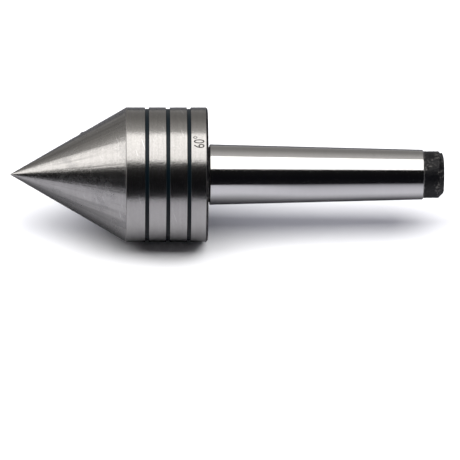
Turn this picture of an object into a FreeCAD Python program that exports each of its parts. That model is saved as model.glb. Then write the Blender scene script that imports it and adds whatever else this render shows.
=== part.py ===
import FreeCAD, Part
import math
import os

# Live centre for a lathe tailstock: a solid-nosed head turns on a fixed Morse-taper shank.
# Frame: +X runs along the axis from the point to the shank's tail, +Z is up, millimetres.
# The origin is on the axis at the taper's gauge plane. x values below are along that axis.

# Morse taper No. 2 shank, fixed in the tailstock
GAUGE_RADIUS = 17.780 / 2
TAPER_PER_MM = 0.04995 / 2
TAPER_REAR_X = 58.5
TAPER_FRONT_X = -5.2
TAPER_EDGE = 0.25
TAIL_X = 64.5
TAIL_RADIUS = 7.0
TAIL_CHAMFER = 1.5
RELIEF_WIDTH = 0.7
RELIEF_DEPTH = 0.8

# Spindle steps that run inside the head
COLLAR_RADIUS = 9.0
COLLAR_FRONT_X = -11.0
BALL_JOURNAL_RADIUS = 7.5
BALL_JOURNAL_FRONT_X = -22.5
THRUST_JOURNAL_RADIUS = 6.0
THRUST_JOURNAL_FRONT_X = -32.2
NEEDLE_JOURNAL_RADIUS = 5.0
SPINDLE_NOSE_X = -45.5
SPINDLE_EDGE = 0.5

# Revolving head: 60 degree point and grooved barrel in one piece
HEAD_RADIUS = 20.0
HALF_POINT_ANGLE = math.radians(30)
POINT_BASE_X = -29.9
HEAD_REAR_X = -5.7
TIP_ROUND = 0.2
HEAD_CORNER = 0.7
GROOVE_PITCH = 6.2
GROOVE_REAR_X = -11.34
GROOVE_WIDTH = 1.15
GROOVE_DEPTH = 0.45
GROOVE_EDGE = 0.12
GROOVE_COUNT = 3

# Bores of the head, from the rear
THREAD_BORE_RADIUS = 17.0
THREAD_BORE_FRONT_X = -10.7
BEARING_SEAT_RADIUS = 16.0
BEARING_SEAT_FRONT_X = -20.0
CAVITY_RADIUS = 13.5
CAVITY_FRONT_X = -28.6
THRUST_SEAT_RADIUS = 13.0
THRUST_SEAT_FRONT_X = -31.5
NEEDLE_SEAT_RADIUS = 7.0
NEEDLE_SEAT_FRONT_X = -45.0
DRILL_RADIUS = 5.4
DRILL_END_X = -47.5
HALF_DRILL_ANGLE = math.radians(59)
BORE_EDGE = 0.5

# Rear cover ring, felt seal and clearance shim
COVER_REAR_X = -5.9
COVER_THICKNESS = 4.6
COVER_BORE_RADIUS = 9.2
COVER_EDGE = 0.4
FELT_GROOVE_REAR_X = -6.9
FELT_GROOVE_WIDTH = 2.5
FELT_GROOVE_RADIUS = 11.8
FELT_CLEARANCE = 0.05
SPANNER_HOLE_RADIUS = 1.5
SPANNER_HOLE_DEPTH = 3.0
SPANNER_PITCH_RADIUS = 14.2
SHIM_THICKNESS = 0.5
SHIM_INNER_RADIUS = 14.3
SHIM_OUTER_RADIUS = 15.9

# Fits
SEAT_GAP = 0.01
RACE_GAP = 0.03

# Shielded deep-groove ball bearing, 15 x 32 x 9
BEARING_WIDTH = 9.0
BEARING_MID_X = COLLAR_FRONT_X - BEARING_WIDTH / 2
BALL_RADIUS = 4.762 / 2
BALL_PITCH_RADIUS = 11.75
BALL_COUNT = 9
INNER_RING_RADIUS = 10.25
OUTER_LAND_RADIUS = 13.3
SHIELD_SEAT_RADIUS = 14.1
SHIELD_SEAT_DEPTH = 0.9
SHIELD_THICKNESS = 0.25
SHIELD_BORE_RADIUS = 10.4
RING_EDGE = 0.3
CAGE_INNER_RADIUS = 10.6
CAGE_OUTER_RADIUS = 12.9
CAGE_SHEET = 0.45
POCKET_GAP = 0.1
RIVET_RADIUS = 0.4
RIVET_HEAD_RADIUS = 0.7
RIVET_HEAD_HEIGHT = 0.3

# External circlip for the 15 mm journal
CIRCLIP_THICKNESS = 1.0
CIRCLIP_GROOVE_WIDTH = 1.05
CIRCLIP_GROOVE_RADIUS = 7.15
CIRCLIP_OUTER_RADIUS = 8.7
CIRCLIP_OFFSET = 0.3
CIRCLIP_LUG_RADIUS = 1.4
CIRCLIP_LUG_PLACE = 8.9
CIRCLIP_LUG_ANGLE = 20.0
CIRCLIP_HOLE_RADIUS = 0.75

# Thrust ball bearing, 12 x 26 x 9
THRUST_WASHER = 2.6
THRUST_MID_X = -27.0
THRUST_BALL_RADIUS = 4.762 / 2
THRUST_PITCH_RADIUS = 9.5
THRUST_BALL_COUNT = 10
HOUSING_WASHER_BORE = 7.0
THRUST_CAGE_THICKNESS = 1.6
THRUST_CAGE_INNER_RADIUS = 6.6
THRUST_CAGE_OUTER_RADIUS = 12.4

# Drawn-cup needle bearing, 10 x 14 x 12
NEEDLE_CUP_REAR_X = -33.0
NEEDLE_CUP_LENGTH = 12.0
NEEDLE_CUP_WALL = 0.5
NEEDLE_LIP = 0.6
NEEDLE_LIP_RADIUS = 5.3
NEEDLE_PITCH_RADIUS = 5.75
NEEDLE_RADIUS = 0.75 - RACE_GAP
NEEDLE_LENGTH = 8.3
NEEDLE_EDGE = 0.15
NEEDLE_COUNT = 16
NEEDLE_CAGE_LENGTH = 10.0
NEEDLE_CAGE_INNER_RADIUS = 5.15
NEEDLE_CAGE_OUTER_RADIUS = 6.3
NEEDLE_SLOT_GAP = 0.06
NEEDLE_SLOT_END_GAP = 0.1

ORIGIN = FreeCAD.Vector(0, 0, 0)
AXIS = FreeCAD.Vector(1, 0, 0)


def turned(outline):
    """Turns a closed outline of (x, radius) points about the X axis.

    An entry (x, radius, x_mid, radius_mid) is reached by an arc through its middle point.
    """
    edges = []
    for before, here in zip(outline, outline[1:] + outline[:1]):
        start = FreeCAD.Vector(before[0], before[1], 0)
        end = FreeCAD.Vector(here[0], here[1], 0)
        if len(here) == 4:
            middle = FreeCAD.Vector(here[2], here[3], 0)
            edges.append(Part.Arc(start, middle, end).toShape())
        else:
            edges.append(Part.makeLine(start, end))
    face = Part.Face(Part.Wire(edges))
    return face.revolve(ORIGIN, AXIS, 360)


def ring(front_x, rear_x, inner, outer, edge=0.0):
    """A plain ring with the same chamfer on its four corners."""
    if edge == 0:
        return turned([(front_x, inner), (rear_x, inner), (rear_x, outer), (front_x, outer)])
    outline = [
        (front_x, inner + edge),
        (front_x + edge, inner),
        (rear_x - edge, inner),
        (rear_x, inner + edge),
        (rear_x, outer - edge),
        (rear_x - edge, outer),
        (front_x + edge, outer),
        (front_x, outer - edge),
    ]
    return turned(outline)


def rod(x, y, z, radius, length):
    """A cylinder along +X that starts at the given point."""
    return Part.makeCylinder(radius, length, FreeCAD.Vector(x, y, z), AXIS)


def around(count, pitch_radius, half_step=False):
    """The (y, z) places of equally spaced items on a pitch circle, starting at the top."""
    places = []
    for k in range(count):
        angle = 2 * math.pi * (k + (0.5 if half_step else 0.0)) / count
        places.append((pitch_radius * math.sin(angle), pitch_radius * math.cos(angle)))
    return places


def ball(x, y, z, radius):
    return Part.makeSphere(radius, FreeCAD.Vector(x, y, z), AXIS)


def race(x, pitch_radius, ball_radius):
    """The torus that a ball race is ground to."""
    return Part.makeTorus(pitch_radius, ball_radius + RACE_GAP, FreeCAD.Vector(x, 0, 0), AXIS)


def centre_hole(x, inwards, mouth_radius, pilot_radius, depth):
    """Cutter for a 60 degree centre hole in an end face at x. inwards is +1 or -1 along X."""
    cone = (mouth_radius - pilot_radius) / math.tan(math.radians(30))
    point = pilot_radius / math.tan(HALF_DRILL_ANGLE)
    return turned([
        (x, 0),
        (x, mouth_radius),
        (x + inwards * cone, pilot_radius),
        (x + inwards * depth, pilot_radius),
        (x + inwards * (depth + point), 0),
    ])


def taper_radius(x):
    return GAUGE_RADIUS - TAPER_PER_MM * x


def shank_spindle():
    """Morse-taper shank and stepped spindle in one bar, centre-drilled at both ends."""
    relief_front_x = TAPER_FRONT_X - RELIEF_WIDTH
    relief_radius = COLLAR_RADIUS - RELIEF_DEPTH
    clip_front_x = BEARING_SEAT_FRONT_X - CIRCLIP_GROOVE_WIDTH
    bar = turned([
        (SPINDLE_NOSE_X, 0),
        (SPINDLE_NOSE_X, NEEDLE_JOURNAL_RADIUS - SPINDLE_EDGE),
        (SPINDLE_NOSE_X + SPINDLE_EDGE, NEEDLE_JOURNAL_RADIUS),
        (THRUST_JOURNAL_FRONT_X, NEEDLE_JOURNAL_RADIUS),
        (THRUST_JOURNAL_FRONT_X, THRUST_JOURNAL_RADIUS - SPINDLE_EDGE),
        (THRUST_JOURNAL_FRONT_X + SPINDLE_EDGE, THRUST_JOURNAL_RADIUS),
        (BALL_JOURNAL_FRONT_X, THRUST_JOURNAL_RADIUS),
        (BALL_JOURNAL_FRONT_X, BALL_JOURNAL_RADIUS - SPINDLE_EDGE),
        (BALL_JOURNAL_FRONT_X + SPINDLE_EDGE, BALL_JOURNAL_RADIUS),
        (clip_front_x, BALL_JOURNAL_RADIUS),
        (clip_front_x, CIRCLIP_GROOVE_RADIUS),
        (BEARING_SEAT_FRONT_X, CIRCLIP_GROOVE_RADIUS),
        (BEARING_SEAT_FRONT_X, BALL_JOURNAL_RADIUS),
        (COLLAR_FRONT_X, BALL_JOURNAL_RADIUS),
        (COLLAR_FRONT_X, COLLAR_RADIUS),
        (relief_front_x, COLLAR_RADIUS),
        (relief_front_x, relief_radius),
        (TAPER_FRONT_X, relief_radius),
        (TAPER_FRONT_X, taper_radius(TAPER_FRONT_X) - TAPER_EDGE),
        (TAPER_FRONT_X + TAPER_EDGE, taper_radius(TAPER_FRONT_X + TAPER_EDGE)),
        (TAPER_REAR_X - TAPER_EDGE, taper_radius(TAPER_REAR_X - TAPER_EDGE)),
        (TAPER_REAR_X, TAIL_RADIUS),
        (TAIL_X - TAIL_CHAMFER, TAIL_RADIUS),
        (TAIL_X, TAIL_RADIUS - TAIL_CHAMFER),
        (TAIL_X, 0),
    ])
    tail_hole = centre_hole(TAIL_X, -1, 2.65, 1.25, 5.5)
    nose_hole = centre_hole(SPINDLE_NOSE_X, 1, 2.1, 1.0, 4.5)
    return bar.cut(tail_hole).cut(nose_hole)


def groove_points(mid_x):
    """One decorative groove in the barrel, with its edges broken."""
    half = GROOVE_WIDTH / 2
    floor = HEAD_RADIUS - GROOVE_DEPTH
    return [
        (mid_x - half - GROOVE_EDGE, HEAD_RADIUS),
        (mid_x - half, HEAD_RADIUS - GROOVE_EDGE),
        (mid_x - half, floor),
        (mid_x + half, floor),
        (mid_x + half, HEAD_RADIUS - GROOVE_EDGE),
        (mid_x + half + GROOVE_EDGE, HEAD_RADIUS),
    ]


def revolving_head():
    """The 60 degree point and the barrel, bored from the rear for the bearings."""
    apex_x = POINT_BASE_X - HEAD_RADIUS / math.tan(HALF_POINT_ANGLE)
    round_x = apex_x + TIP_ROUND / math.sin(HALF_POINT_ANGLE)
    middle = (math.pi / 2 - HALF_POINT_ANGLE) / 2
    outline = [
        (round_x - TIP_ROUND, 0),
        (
            round_x - TIP_ROUND * math.sin(HALF_POINT_ANGLE),
            TIP_ROUND * math.cos(HALF_POINT_ANGLE),
            round_x - TIP_ROUND * math.cos(middle),
            TIP_ROUND * math.sin(middle),
        ),
        (POINT_BASE_X, HEAD_RADIUS),
    ]
    for k in reversed(range(GROOVE_COUNT)):
        outline += groove_points(GROOVE_REAR_X - k * GROOVE_PITCH)
    diagonal = HEAD_CORNER * (1 - math.sqrt(0.5))
    drill_point = DRILL_RADIUS / math.tan(HALF_DRILL_ANGLE)
    outline += [
        (HEAD_REAR_X - HEAD_CORNER, HEAD_RADIUS),
        (
            HEAD_REAR_X,
            HEAD_RADIUS - HEAD_CORNER,
            HEAD_REAR_X - diagonal,
            HEAD_RADIUS - diagonal,
        ),
        (HEAD_REAR_X, THREAD_BORE_RADIUS + BORE_EDGE),
        (HEAD_REAR_X - BORE_EDGE, THREAD_BORE_RADIUS),
        (THREAD_BORE_FRONT_X, THREAD_BORE_RADIUS),
        (THREAD_BORE_FRONT_X, BEARING_SEAT_RADIUS),
        (BEARING_SEAT_FRONT_X, BEARING_SEAT_RADIUS),
        (BEARING_SEAT_FRONT_X, CAVITY_RADIUS),
        (CAVITY_FRONT_X, CAVITY_RADIUS),
        (CAVITY_FRONT_X, THRUST_SEAT_RADIUS),
        (THRUST_SEAT_FRONT_X, THRUST_SEAT_RADIUS),
        (THRUST_SEAT_FRONT_X, NEEDLE_SEAT_RADIUS),
        (NEEDLE_SEAT_FRONT_X, NEEDLE_SEAT_RADIUS),
        (NEEDLE_SEAT_FRONT_X, DRILL_RADIUS),
        (DRILL_END_X, DRILL_RADIUS),
        (DRILL_END_X - drill_point, 0),
    ]
    return turned(outline)


def rear_cover():
    """Ring that screws into the rear of the head, with a felt groove and two spanner holes."""
    outer = THREAD_BORE_RADIUS - SEAT_GAP
    front_x = COVER_REAR_X - COVER_THICKNESS
    body = ring(front_x, COVER_REAR_X, COVER_BORE_RADIUS, outer, COVER_EDGE)
    groove_front_x = FELT_GROOVE_REAR_X - FELT_GROOVE_WIDTH
    body = body.cut(ring(groove_front_x, FELT_GROOVE_REAR_X, COVER_BORE_RADIUS - 1, FELT_GROOVE_RADIUS))
    for side in (-1, 1):
        hole = rod(
            COVER_REAR_X - SPANNER_HOLE_DEPTH,
            side * SPANNER_PITCH_RADIUS,
            0,
            SPANNER_HOLE_RADIUS,
            SPANNER_HOLE_DEPTH + 1,
        )
        body = body.cut(hole)
    return body


def felt_seal():
    front_x = FELT_GROOVE_REAR_X - FELT_GROOVE_WIDTH
    return ring(
        front_x + FELT_CLEARANCE,
        FELT_GROOVE_REAR_X - FELT_CLEARANCE,
        COLLAR_RADIUS + RACE_GAP,
        FELT_GROOVE_RADIUS - FELT_CLEARANCE,
    )


def clearance_shim():
    rear_x = COVER_REAR_X - COVER_THICKNESS
    return ring(rear_x - SHIM_THICKNESS, rear_x, SHIM_INNER_RADIUS, SHIM_OUTER_RADIUS)


def ball_bearing_outer_ring():
    """Outer ring with a ball race and a stepped seat on each side for its shield."""
    half = BEARING_WIDTH / 2
    outer = BEARING_SEAT_RADIUS - SEAT_GAP
    front_x = BEARING_MID_X - half
    rear_x = BEARING_MID_X + half
    body = turned([
        (front_x, SHIELD_SEAT_RADIUS),
        (front_x + SHIELD_SEAT_DEPTH, SHIELD_SEAT_RADIUS),
        (front_x + SHIELD_SEAT_DEPTH, OUTER_LAND_RADIUS),
        (rear_x - SHIELD_SEAT_DEPTH, OUTER_LAND_RADIUS),
        (rear_x - SHIELD_SEAT_DEPTH, SHIELD_SEAT_RADIUS),
        (rear_x, SHIELD_SEAT_RADIUS),
        (rear_x, outer - RING_EDGE),
        (rear_x - RING_EDGE, outer),
        (front_x + RING_EDGE, outer),
        (front_x, outer - RING_EDGE),
    ])
    return body.cut(race(BEARING_MID_X, BALL_PITCH_RADIUS, BALL_RADIUS))


def ball_bearing_inner_ring():
    half = BEARING_WIDTH / 2
    bore = BALL_JOURNAL_RADIUS + SEAT_GAP
    body = ring(BEARING_MID_X - half, BEARING_MID_X + half, bore, INNER_RING_RADIUS, RING_EDGE)
    return body.cut(race(BEARING_MID_X, BALL_PITCH_RADIUS, BALL_RADIUS))


def ball_bearing_balls():
    places = around(BALL_COUNT, BALL_PITCH_RADIUS)
    return Part.makeCompound([ball(BEARING_MID_X, y, z, BALL_RADIUS) for y, z in places])


def cage_rear_half():
    """One pressed half of the ball cage: a flat ribbon that bulges round each ball."""
    pocket_radius = BALL_RADIUS + POCKET_GAP
    reach = pocket_radius + CAGE_SHEET
    mid_x = BEARING_MID_X
    band = ring(mid_x, mid_x + reach + 1, CAGE_INNER_RADIUS, CAGE_OUTER_RADIUS)
    body = ring(mid_x, mid_x + CAGE_SHEET, CAGE_INNER_RADIUS, CAGE_OUTER_RADIUS)
    places = around(BALL_COUNT, BALL_PITCH_RADIUS)
    for y, z in places:
        body = body.fuse(ball(mid_x, y, z, reach).common(band))
    for y, z in places:
        body = body.cut(ball(mid_x, y, z, pocket_radius))
    for y, z in around(BALL_COUNT, BALL_PITCH_RADIUS, half_step=True):
        body = body.cut(rod(mid_x - 1, y, z, RIVET_RADIUS + SEAT_GAP, 2))
    return body.removeSplitter()


def cage_front_half():
    """The mating half, a mirror image of the rear one across the balls' plane."""
    return cage_rear_half().mirror(FreeCAD.Vector(BEARING_MID_X, 0, 0), AXIS)


def cage_rivets():
    """Headed rivets that clinch the two cage halves between the balls."""
    rivets = []
    for y, z in around(BALL_COUNT, BALL_PITCH_RADIUS, half_step=True):
        reach = CAGE_SHEET + RIVET_HEAD_HEIGHT
        rivet = rod(BEARING_MID_X - reach, y, z, RIVET_RADIUS, 2 * reach)
        for x in (BEARING_MID_X - reach, BEARING_MID_X + CAGE_SHEET):
            rivet = rivet.fuse(rod(x, y, z, RIVET_HEAD_RADIUS, RIVET_HEAD_HEIGHT))
        rivets.append(rivet.removeSplitter())
    return Part.makeCompound(rivets)


def bearing_shield(side):
    """Pressed shield: a thin disc with a rolled rim in the outer ring's stepped seat."""
    face_x = BEARING_MID_X + side * BEARING_WIDTH / 2
    outer = SHIELD_SEAT_RADIUS - SEAT_GAP
    rim = outer - 0.35
    inset = 0.2
    return turned([
        (face_x - side * inset, SHIELD_BORE_RADIUS),
        (face_x - side * inset, outer),
        (face_x - side * SHIELD_SEAT_DEPTH, outer),
        (face_x - side * SHIELD_SEAT_DEPTH, rim),
        (face_x - side * (inset + SHIELD_THICKNESS), rim),
        (face_x - side * (inset + SHIELD_THICKNESS), SHIELD_BORE_RADIUS),
    ])


def spindle_circlip():
    """External circlip: thicker at the back, with two drilled lugs at the gap on top."""
    front_x = BEARING_SEAT_FRONT_X - CIRCLIP_THICKNESS
    body = rod(front_x, 0, -CIRCLIP_OFFSET, CIRCLIP_OUTER_RADIUS, CIRCLIP_THICKNESS)
    holes = []
    for side in (-1, 1):
        angle = math.radians(side * CIRCLIP_LUG_ANGLE)
        y = CIRCLIP_LUG_PLACE * math.sin(angle)
        z = CIRCLIP_LUG_PLACE * math.cos(angle)
        body = body.fuse(rod(front_x, y, z, CIRCLIP_LUG_RADIUS, CIRCLIP_THICKNESS))
        holes.append(rod(front_x - 1, y, z, CIRCLIP_HOLE_RADIUS, CIRCLIP_THICKNESS + 2))
    bore = rod(front_x - 1, 0, 0, CIRCLIP_GROOVE_RADIUS + SEAT_GAP, CIRCLIP_THICKNESS + 2)
    corner = FreeCAD.Vector(front_x - 1, -1.5, 0)
    gap = Part.makeBox(CIRCLIP_THICKNESS + 2, 3.0, 15.0, corner)
    return body.cut(bore).cut(gap).cut(Part.makeCompound(holes)).removeSplitter()


def thrust_shaft_washer():
    rear_x = BALL_JOURNAL_FRONT_X
    bore = THRUST_JOURNAL_RADIUS + SEAT_GAP
    body = ring(rear_x - THRUST_WASHER, rear_x, bore, THRUST_SEAT_RADIUS, RING_EDGE)
    return body.cut(race(THRUST_MID_X, THRUST_PITCH_RADIUS, THRUST_BALL_RADIUS))


def thrust_housing_washer():
    front_x = THRUST_SEAT_FRONT_X
    outer = THRUST_SEAT_RADIUS - SEAT_GAP
    body = ring(front_x, front_x + THRUST_WASHER, HOUSING_WASHER_BORE, outer, RING_EDGE)
    return body.cut(race(THRUST_MID_X, THRUST_PITCH_RADIUS, THRUST_BALL_RADIUS))


def thrust_balls():
    places = around(THRUST_BALL_COUNT, THRUST_PITCH_RADIUS)
    return Part.makeCompound([ball(THRUST_MID_X, y, z, THRUST_BALL_RADIUS) for y, z in places])


def thrust_cage():
    half = THRUST_CAGE_THICKNESS / 2
    body = ring(
        THRUST_MID_X - half,
        THRUST_MID_X + half,
        THRUST_CAGE_INNER_RADIUS,
        THRUST_CAGE_OUTER_RADIUS,
    )
    pockets = []
    for y, z in around(THRUST_BALL_COUNT, THRUST_PITCH_RADIUS):
        pockets.append(rod(THRUST_MID_X - 2, y, z, THRUST_BALL_RADIUS + POCKET_GAP, 4))
    return body.cut(Part.makeCompound(pockets))


def needle_cup():
    """Drawn cup with a turned-in lip at each end that keeps the needles in."""
    rear_x = NEEDLE_CUP_REAR_X
    front_x = rear_x - NEEDLE_CUP_LENGTH
    outer = NEEDLE_SEAT_RADIUS - SEAT_GAP
    track = NEEDLE_SEAT_RADIUS - NEEDLE_CUP_WALL
    return turned([
        (front_x, NEEDLE_LIP_RADIUS),
        (front_x, outer - NEEDLE_CUP_WALL),
        (front_x + NEEDLE_CUP_WALL, outer),
        (rear_x - NEEDLE_CUP_WALL, outer),
        (rear_x, outer - NEEDLE_CUP_WALL),
        (rear_x, NEEDLE_LIP_RADIUS),
        (rear_x - NEEDLE_LIP, NEEDLE_LIP_RADIUS),
        (rear_x - NEEDLE_LIP, track),
        (front_x + NEEDLE_LIP, track),
        (front_x + NEEDLE_LIP, NEEDLE_LIP_RADIUS),
    ])


def needle_mid_x():
    return NEEDLE_CUP_REAR_X - NEEDLE_CUP_LENGTH / 2


def needle_rollers():
    """Needles with broken ends, evenly spaced round the journal."""
    front_x = needle_mid_x() - NEEDLE_LENGTH / 2
    rear_x = front_x + NEEDLE_LENGTH
    needle = turned([
        (front_x, 0),
        (front_x, NEEDLE_RADIUS - NEEDLE_EDGE),
        (front_x + NEEDLE_EDGE, NEEDLE_RADIUS),
        (rear_x - NEEDLE_EDGE, NEEDLE_RADIUS),
        (rear_x, NEEDLE_RADIUS - NEEDLE_EDGE),
        (rear_x, 0),
    ])
    needles = []
    for y, z in around(NEEDLE_COUNT, NEEDLE_PITCH_RADIUS):
        placed = needle.copy()
        placed.translate(FreeCAD.Vector(0, y, z))
        needles.append(placed)
    return Part.makeCompound(needles)


def needle_cage():
    """Slotted sleeve that spaces the needles."""
    half = NEEDLE_CAGE_LENGTH / 2
    middle = needle_mid_x()
    body = ring(
        middle - half, middle + half, NEEDLE_CAGE_INNER_RADIUS, NEEDLE_CAGE_OUTER_RADIUS
    )
    slot_length = NEEDLE_LENGTH + 2 * NEEDLE_SLOT_END_GAP
    slot_width = 2 * (NEEDLE_RADIUS + NEEDLE_SLOT_GAP)
    corner = FreeCAD.Vector(middle - slot_length / 2, -slot_width / 2, 2)
    slots = []
    for k in range(NEEDLE_COUNT):
        slot = Part.makeBox(slot_length, slot_width, 8, corner)
        slot.rotate(ORIGIN, AXIS, 360 * k / NEEDLE_COUNT)
        slots.append(slot)
    return body.cut(Part.makeCompound(slots))


PIECES = {
    "shank_spindle": shank_spindle,
    "revolving_head": revolving_head,
    "rear_cover": rear_cover,
    "felt_seal_ring": felt_seal,
    "clearance_shim": clearance_shim,
    "ball_bearing_outer_ring": ball_bearing_outer_ring,
    "ball_bearing_inner_ring": ball_bearing_inner_ring,
    "ball_bearing_balls": ball_bearing_balls,
    "ball_bearing_cage_front_half": cage_front_half,
    "ball_bearing_cage_rear_half": cage_rear_half,
    "ball_bearing_cage_rivets": cage_rivets,
    "ball_bearing_front_shield": lambda: bearing_shield(-1),
    "ball_bearing_rear_shield": lambda: bearing_shield(1),
    "spindle_circlip": spindle_circlip,
    "thrust_shaft_washer": thrust_shaft_washer,
    "thrust_housing_washer": thrust_housing_washer,
    "thrust_balls": thrust_balls,
    "thrust_cage": thrust_cage,
    "needle_cup": needle_cup,
    "needle_rollers": needle_rollers,
    "needle_cage": needle_cage,
}

os.makedirs("parts", exist_ok=True)
for name, make in PIECES.items():
    shape = make()
    shape.exportStep("parts/" + name + ".step")
    print(name, len(shape.Solids), round(shape.Volume, 2), shape.isValid())
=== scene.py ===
import math

import bmesh
import bpy
from mathutils import Matrix, Vector, noise


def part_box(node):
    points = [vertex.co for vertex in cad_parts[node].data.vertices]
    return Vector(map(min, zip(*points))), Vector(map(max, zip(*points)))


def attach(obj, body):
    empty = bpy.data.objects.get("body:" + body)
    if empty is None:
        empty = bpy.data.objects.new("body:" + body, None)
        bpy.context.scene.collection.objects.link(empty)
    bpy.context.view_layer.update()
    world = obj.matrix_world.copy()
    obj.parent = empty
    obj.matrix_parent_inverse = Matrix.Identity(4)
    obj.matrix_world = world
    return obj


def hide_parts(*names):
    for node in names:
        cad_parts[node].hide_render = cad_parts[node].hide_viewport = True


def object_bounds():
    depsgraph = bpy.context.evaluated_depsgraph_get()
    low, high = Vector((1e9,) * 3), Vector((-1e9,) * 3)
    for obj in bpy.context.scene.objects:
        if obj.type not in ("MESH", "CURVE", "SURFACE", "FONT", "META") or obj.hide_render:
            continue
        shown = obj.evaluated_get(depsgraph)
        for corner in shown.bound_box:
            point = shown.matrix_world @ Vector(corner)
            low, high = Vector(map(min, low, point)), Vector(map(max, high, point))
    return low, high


bl_info = {
    "name": "Live centre",
    "version": (1, 0, 0),
    "blender": (4, 5, 0),
    "location": "3D View > Sidebar > Live centre",
    "description": "Builds a lathe live centre around its packed frame, with its finishes and studio",
    "category": "Object",
}

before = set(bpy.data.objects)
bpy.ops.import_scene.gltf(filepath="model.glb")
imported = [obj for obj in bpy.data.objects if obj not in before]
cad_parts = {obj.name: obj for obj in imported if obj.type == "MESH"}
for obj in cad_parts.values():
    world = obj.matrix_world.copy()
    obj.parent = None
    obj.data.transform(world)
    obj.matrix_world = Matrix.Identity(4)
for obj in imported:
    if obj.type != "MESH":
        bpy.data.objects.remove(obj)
CAD_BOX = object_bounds()

MM = 0.001
FIT = 0.01 * MM
KNOCK_LENGTH = 1.1 * MM
KNOCK_WIDTH = 0.9 * MM
KNOCK_DEPTH = 0.3 * MM
TAIL_ROUGHNESS = 0.07 * MM
TAIL_BURR = 0.7 * MM
HEAD_BODY = "head"
SHANK_BODY = "shank"


# ---------------------------------------------------------------- sizes and colours

def length(name, text, value, largest=0.2):
    return bpy.props.FloatProperty(
        name=name, description=text, default=value, min=0.0, max=largest,
        precision=5, subtype="DISTANCE", unit="LENGTH",
    )


def colour(name, text, value):
    return bpy.props.FloatVectorProperty(
        name=name, description=text, default=value, size=3, min=0.0, max=1.0, subtype="COLOR",
    )


def share(name, text, value, largest=1.0):
    return bpy.props.FloatProperty(name=name, description=text, default=value, min=0.0, max=largest)


class HeadSettings(bpy.types.PropertyGroup):
    """Sizes of the revolving head that the frame's boxes don't give."""

    groove_pitch: length("Groove pitch", "Distance between the painted grooves", 6.2 * MM)
    groove_inset: length("Groove inset", "Rear face to the middle of the last groove", 5.64 * MM)
    groove_width: length("Groove width", "Width of each painted groove", 1.15 * MM)
    groove_depth: length("Groove depth", "Depth of each painted groove", 0.45 * MM)
    groove_count: bpy.props.IntProperty(
        name="Grooves", description="How many painted grooves the barrel has", default=3, min=1, max=6
    )
    knock_inset: length("Knock", "Tip to the small knock on the point", 20.6 * MM)
    knock_lean: bpy.props.FloatProperty(
        name="Knock lean", description="How far the knock lies behind the top of the point",
        default=math.radians(31), subtype="ANGLE", unit="ROTATION",
    )
    point_angle: bpy.props.FloatProperty(
        name="Point angle", description="Included angle of the point",
        default=math.radians(60), subtype="ANGLE", unit="ROTATION",
    )
    tip_round: length("Tip round", "Radius at the very tip of the point", 0.2 * MM)
    corner_round: length("Rear corner", "Radius of the barrel's rear corner", 0.7 * MM)
    edge_break: length("Broken edges", "Radius of the other turned edges", 0.08 * MM)
    point_edge: length("Point edge", "Radius of the edge between point and barrel", 0.13 * MM)
    cavity_radius: length("Cavity radius", "Radius of the open bore between the bearings", 13.5 * MM)
    drill_radius: length("Drill radius", "Radius of the drilled hole ahead of the needle bearing", 5.4 * MM)
    drill_depth: length("Drill depth", "Length of that hole's straight wall", 2.5 * MM)
    steps_round: bpy.props.IntProperty(
        name="Steps round", description="Facets round the turned pieces", default=256, min=24, max=512
    )
    mark_height: length("Mark height", "Letter height of the etched cone angle", 3.3 * MM)
    mark_length: length("Mark length", "Length of the etched cone angle round the barrel", 3.9 * MM)
    mark_inset: length("Mark inset", "Rear face to the middle of the etched cone angle", 2.85 * MM)
    mark_turn: bpy.props.FloatProperty(
        name="Mark place", description="Height of the mark round the barrel, from the front's level",
        default=math.radians(63), subtype="ANGLE", unit="ROTATION",
    )


class ShankSettings(bpy.types.PropertyGroup):
    """Sizes of the shank and spindle bar that the frame's boxes don't give."""

    gauge_radius: length("Gauge radius", "Taper radius at the gauge plane", 8.89 * MM)
    taper_rate: bpy.props.FloatProperty(
        name="Taper", description="Loss of radius per length of shank", default=0.024975, precision=6
    )
    taper_front: length("Taper front", "Gauge plane to the taper's large end", 5.2 * MM)
    taper_rear: length("Taper rear", "Gauge plane to the end of the ground taper", 58.5 * MM)
    tail_radius: length("Tail radius", "Radius of the dark plain end", 7.0 * MM)
    tail_chamfer: length("Tail chamfer", "Chamfer of the tail end", 1.5 * MM)
    collar_radius: length("Collar radius", "Radius of the collar in the rear cover", 9.0 * MM)
    relief_width: length("Relief width", "Width of the relief at the shank's root", 0.7 * MM)
    relief_depth: length("Relief depth", "Depth of the relief at the shank's root", 0.8 * MM)
    ball_journal: length("Ball journal", "Radius under the ball bearing", 7.5 * MM)
    thrust_journal: length("Thrust journal", "Radius under the thrust bearing", 6.0 * MM)
    needle_journal: length("Needle journal", "Radius under the needle bearing", 5.0 * MM)
    hole_mouth: length("Centre hole mouth", "Radius of the tail's centre hole", 2.65 * MM)
    hole_pilot: length("Centre hole pilot", "Radius of the centre hole's drilled part", 1.25 * MM)
    hole_depth: length("Centre hole depth", "Depth of the centre hole's straight wall", 5.5 * MM)


class FinishSettings(bpy.types.PropertyGroup):
    """Colours and wear of the finishes."""

    head_steel: colour("Head steel", "Ground steel of the head", (0.40, 0.392, 0.385))
    shank_steel: colour("Shank steel", "Fine ground steel of the shank", (0.56, 0.557, 0.56))
    groove_paint: colour("Groove paint", "Enamel in the grooves", (0.002, 0.0055, 0.008))
    black_oxide: colour("Black oxide", "Dark unground steel", (0.0016, 0.0016, 0.0022))
    bearing_steel: colour("Bearing steel", "Rings and washers", (0.46, 0.46, 0.465))
    sheet_steel: colour("Sheet steel", "Cages, shields and cups", (0.36, 0.355, 0.34))
    felt: colour("Felt", "Wool felt seal", (0.33, 0.30, 0.24))
    wear: share("Wear", "Strength of scratches, pits and handling marks", 1.0, 3.0)


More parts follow.
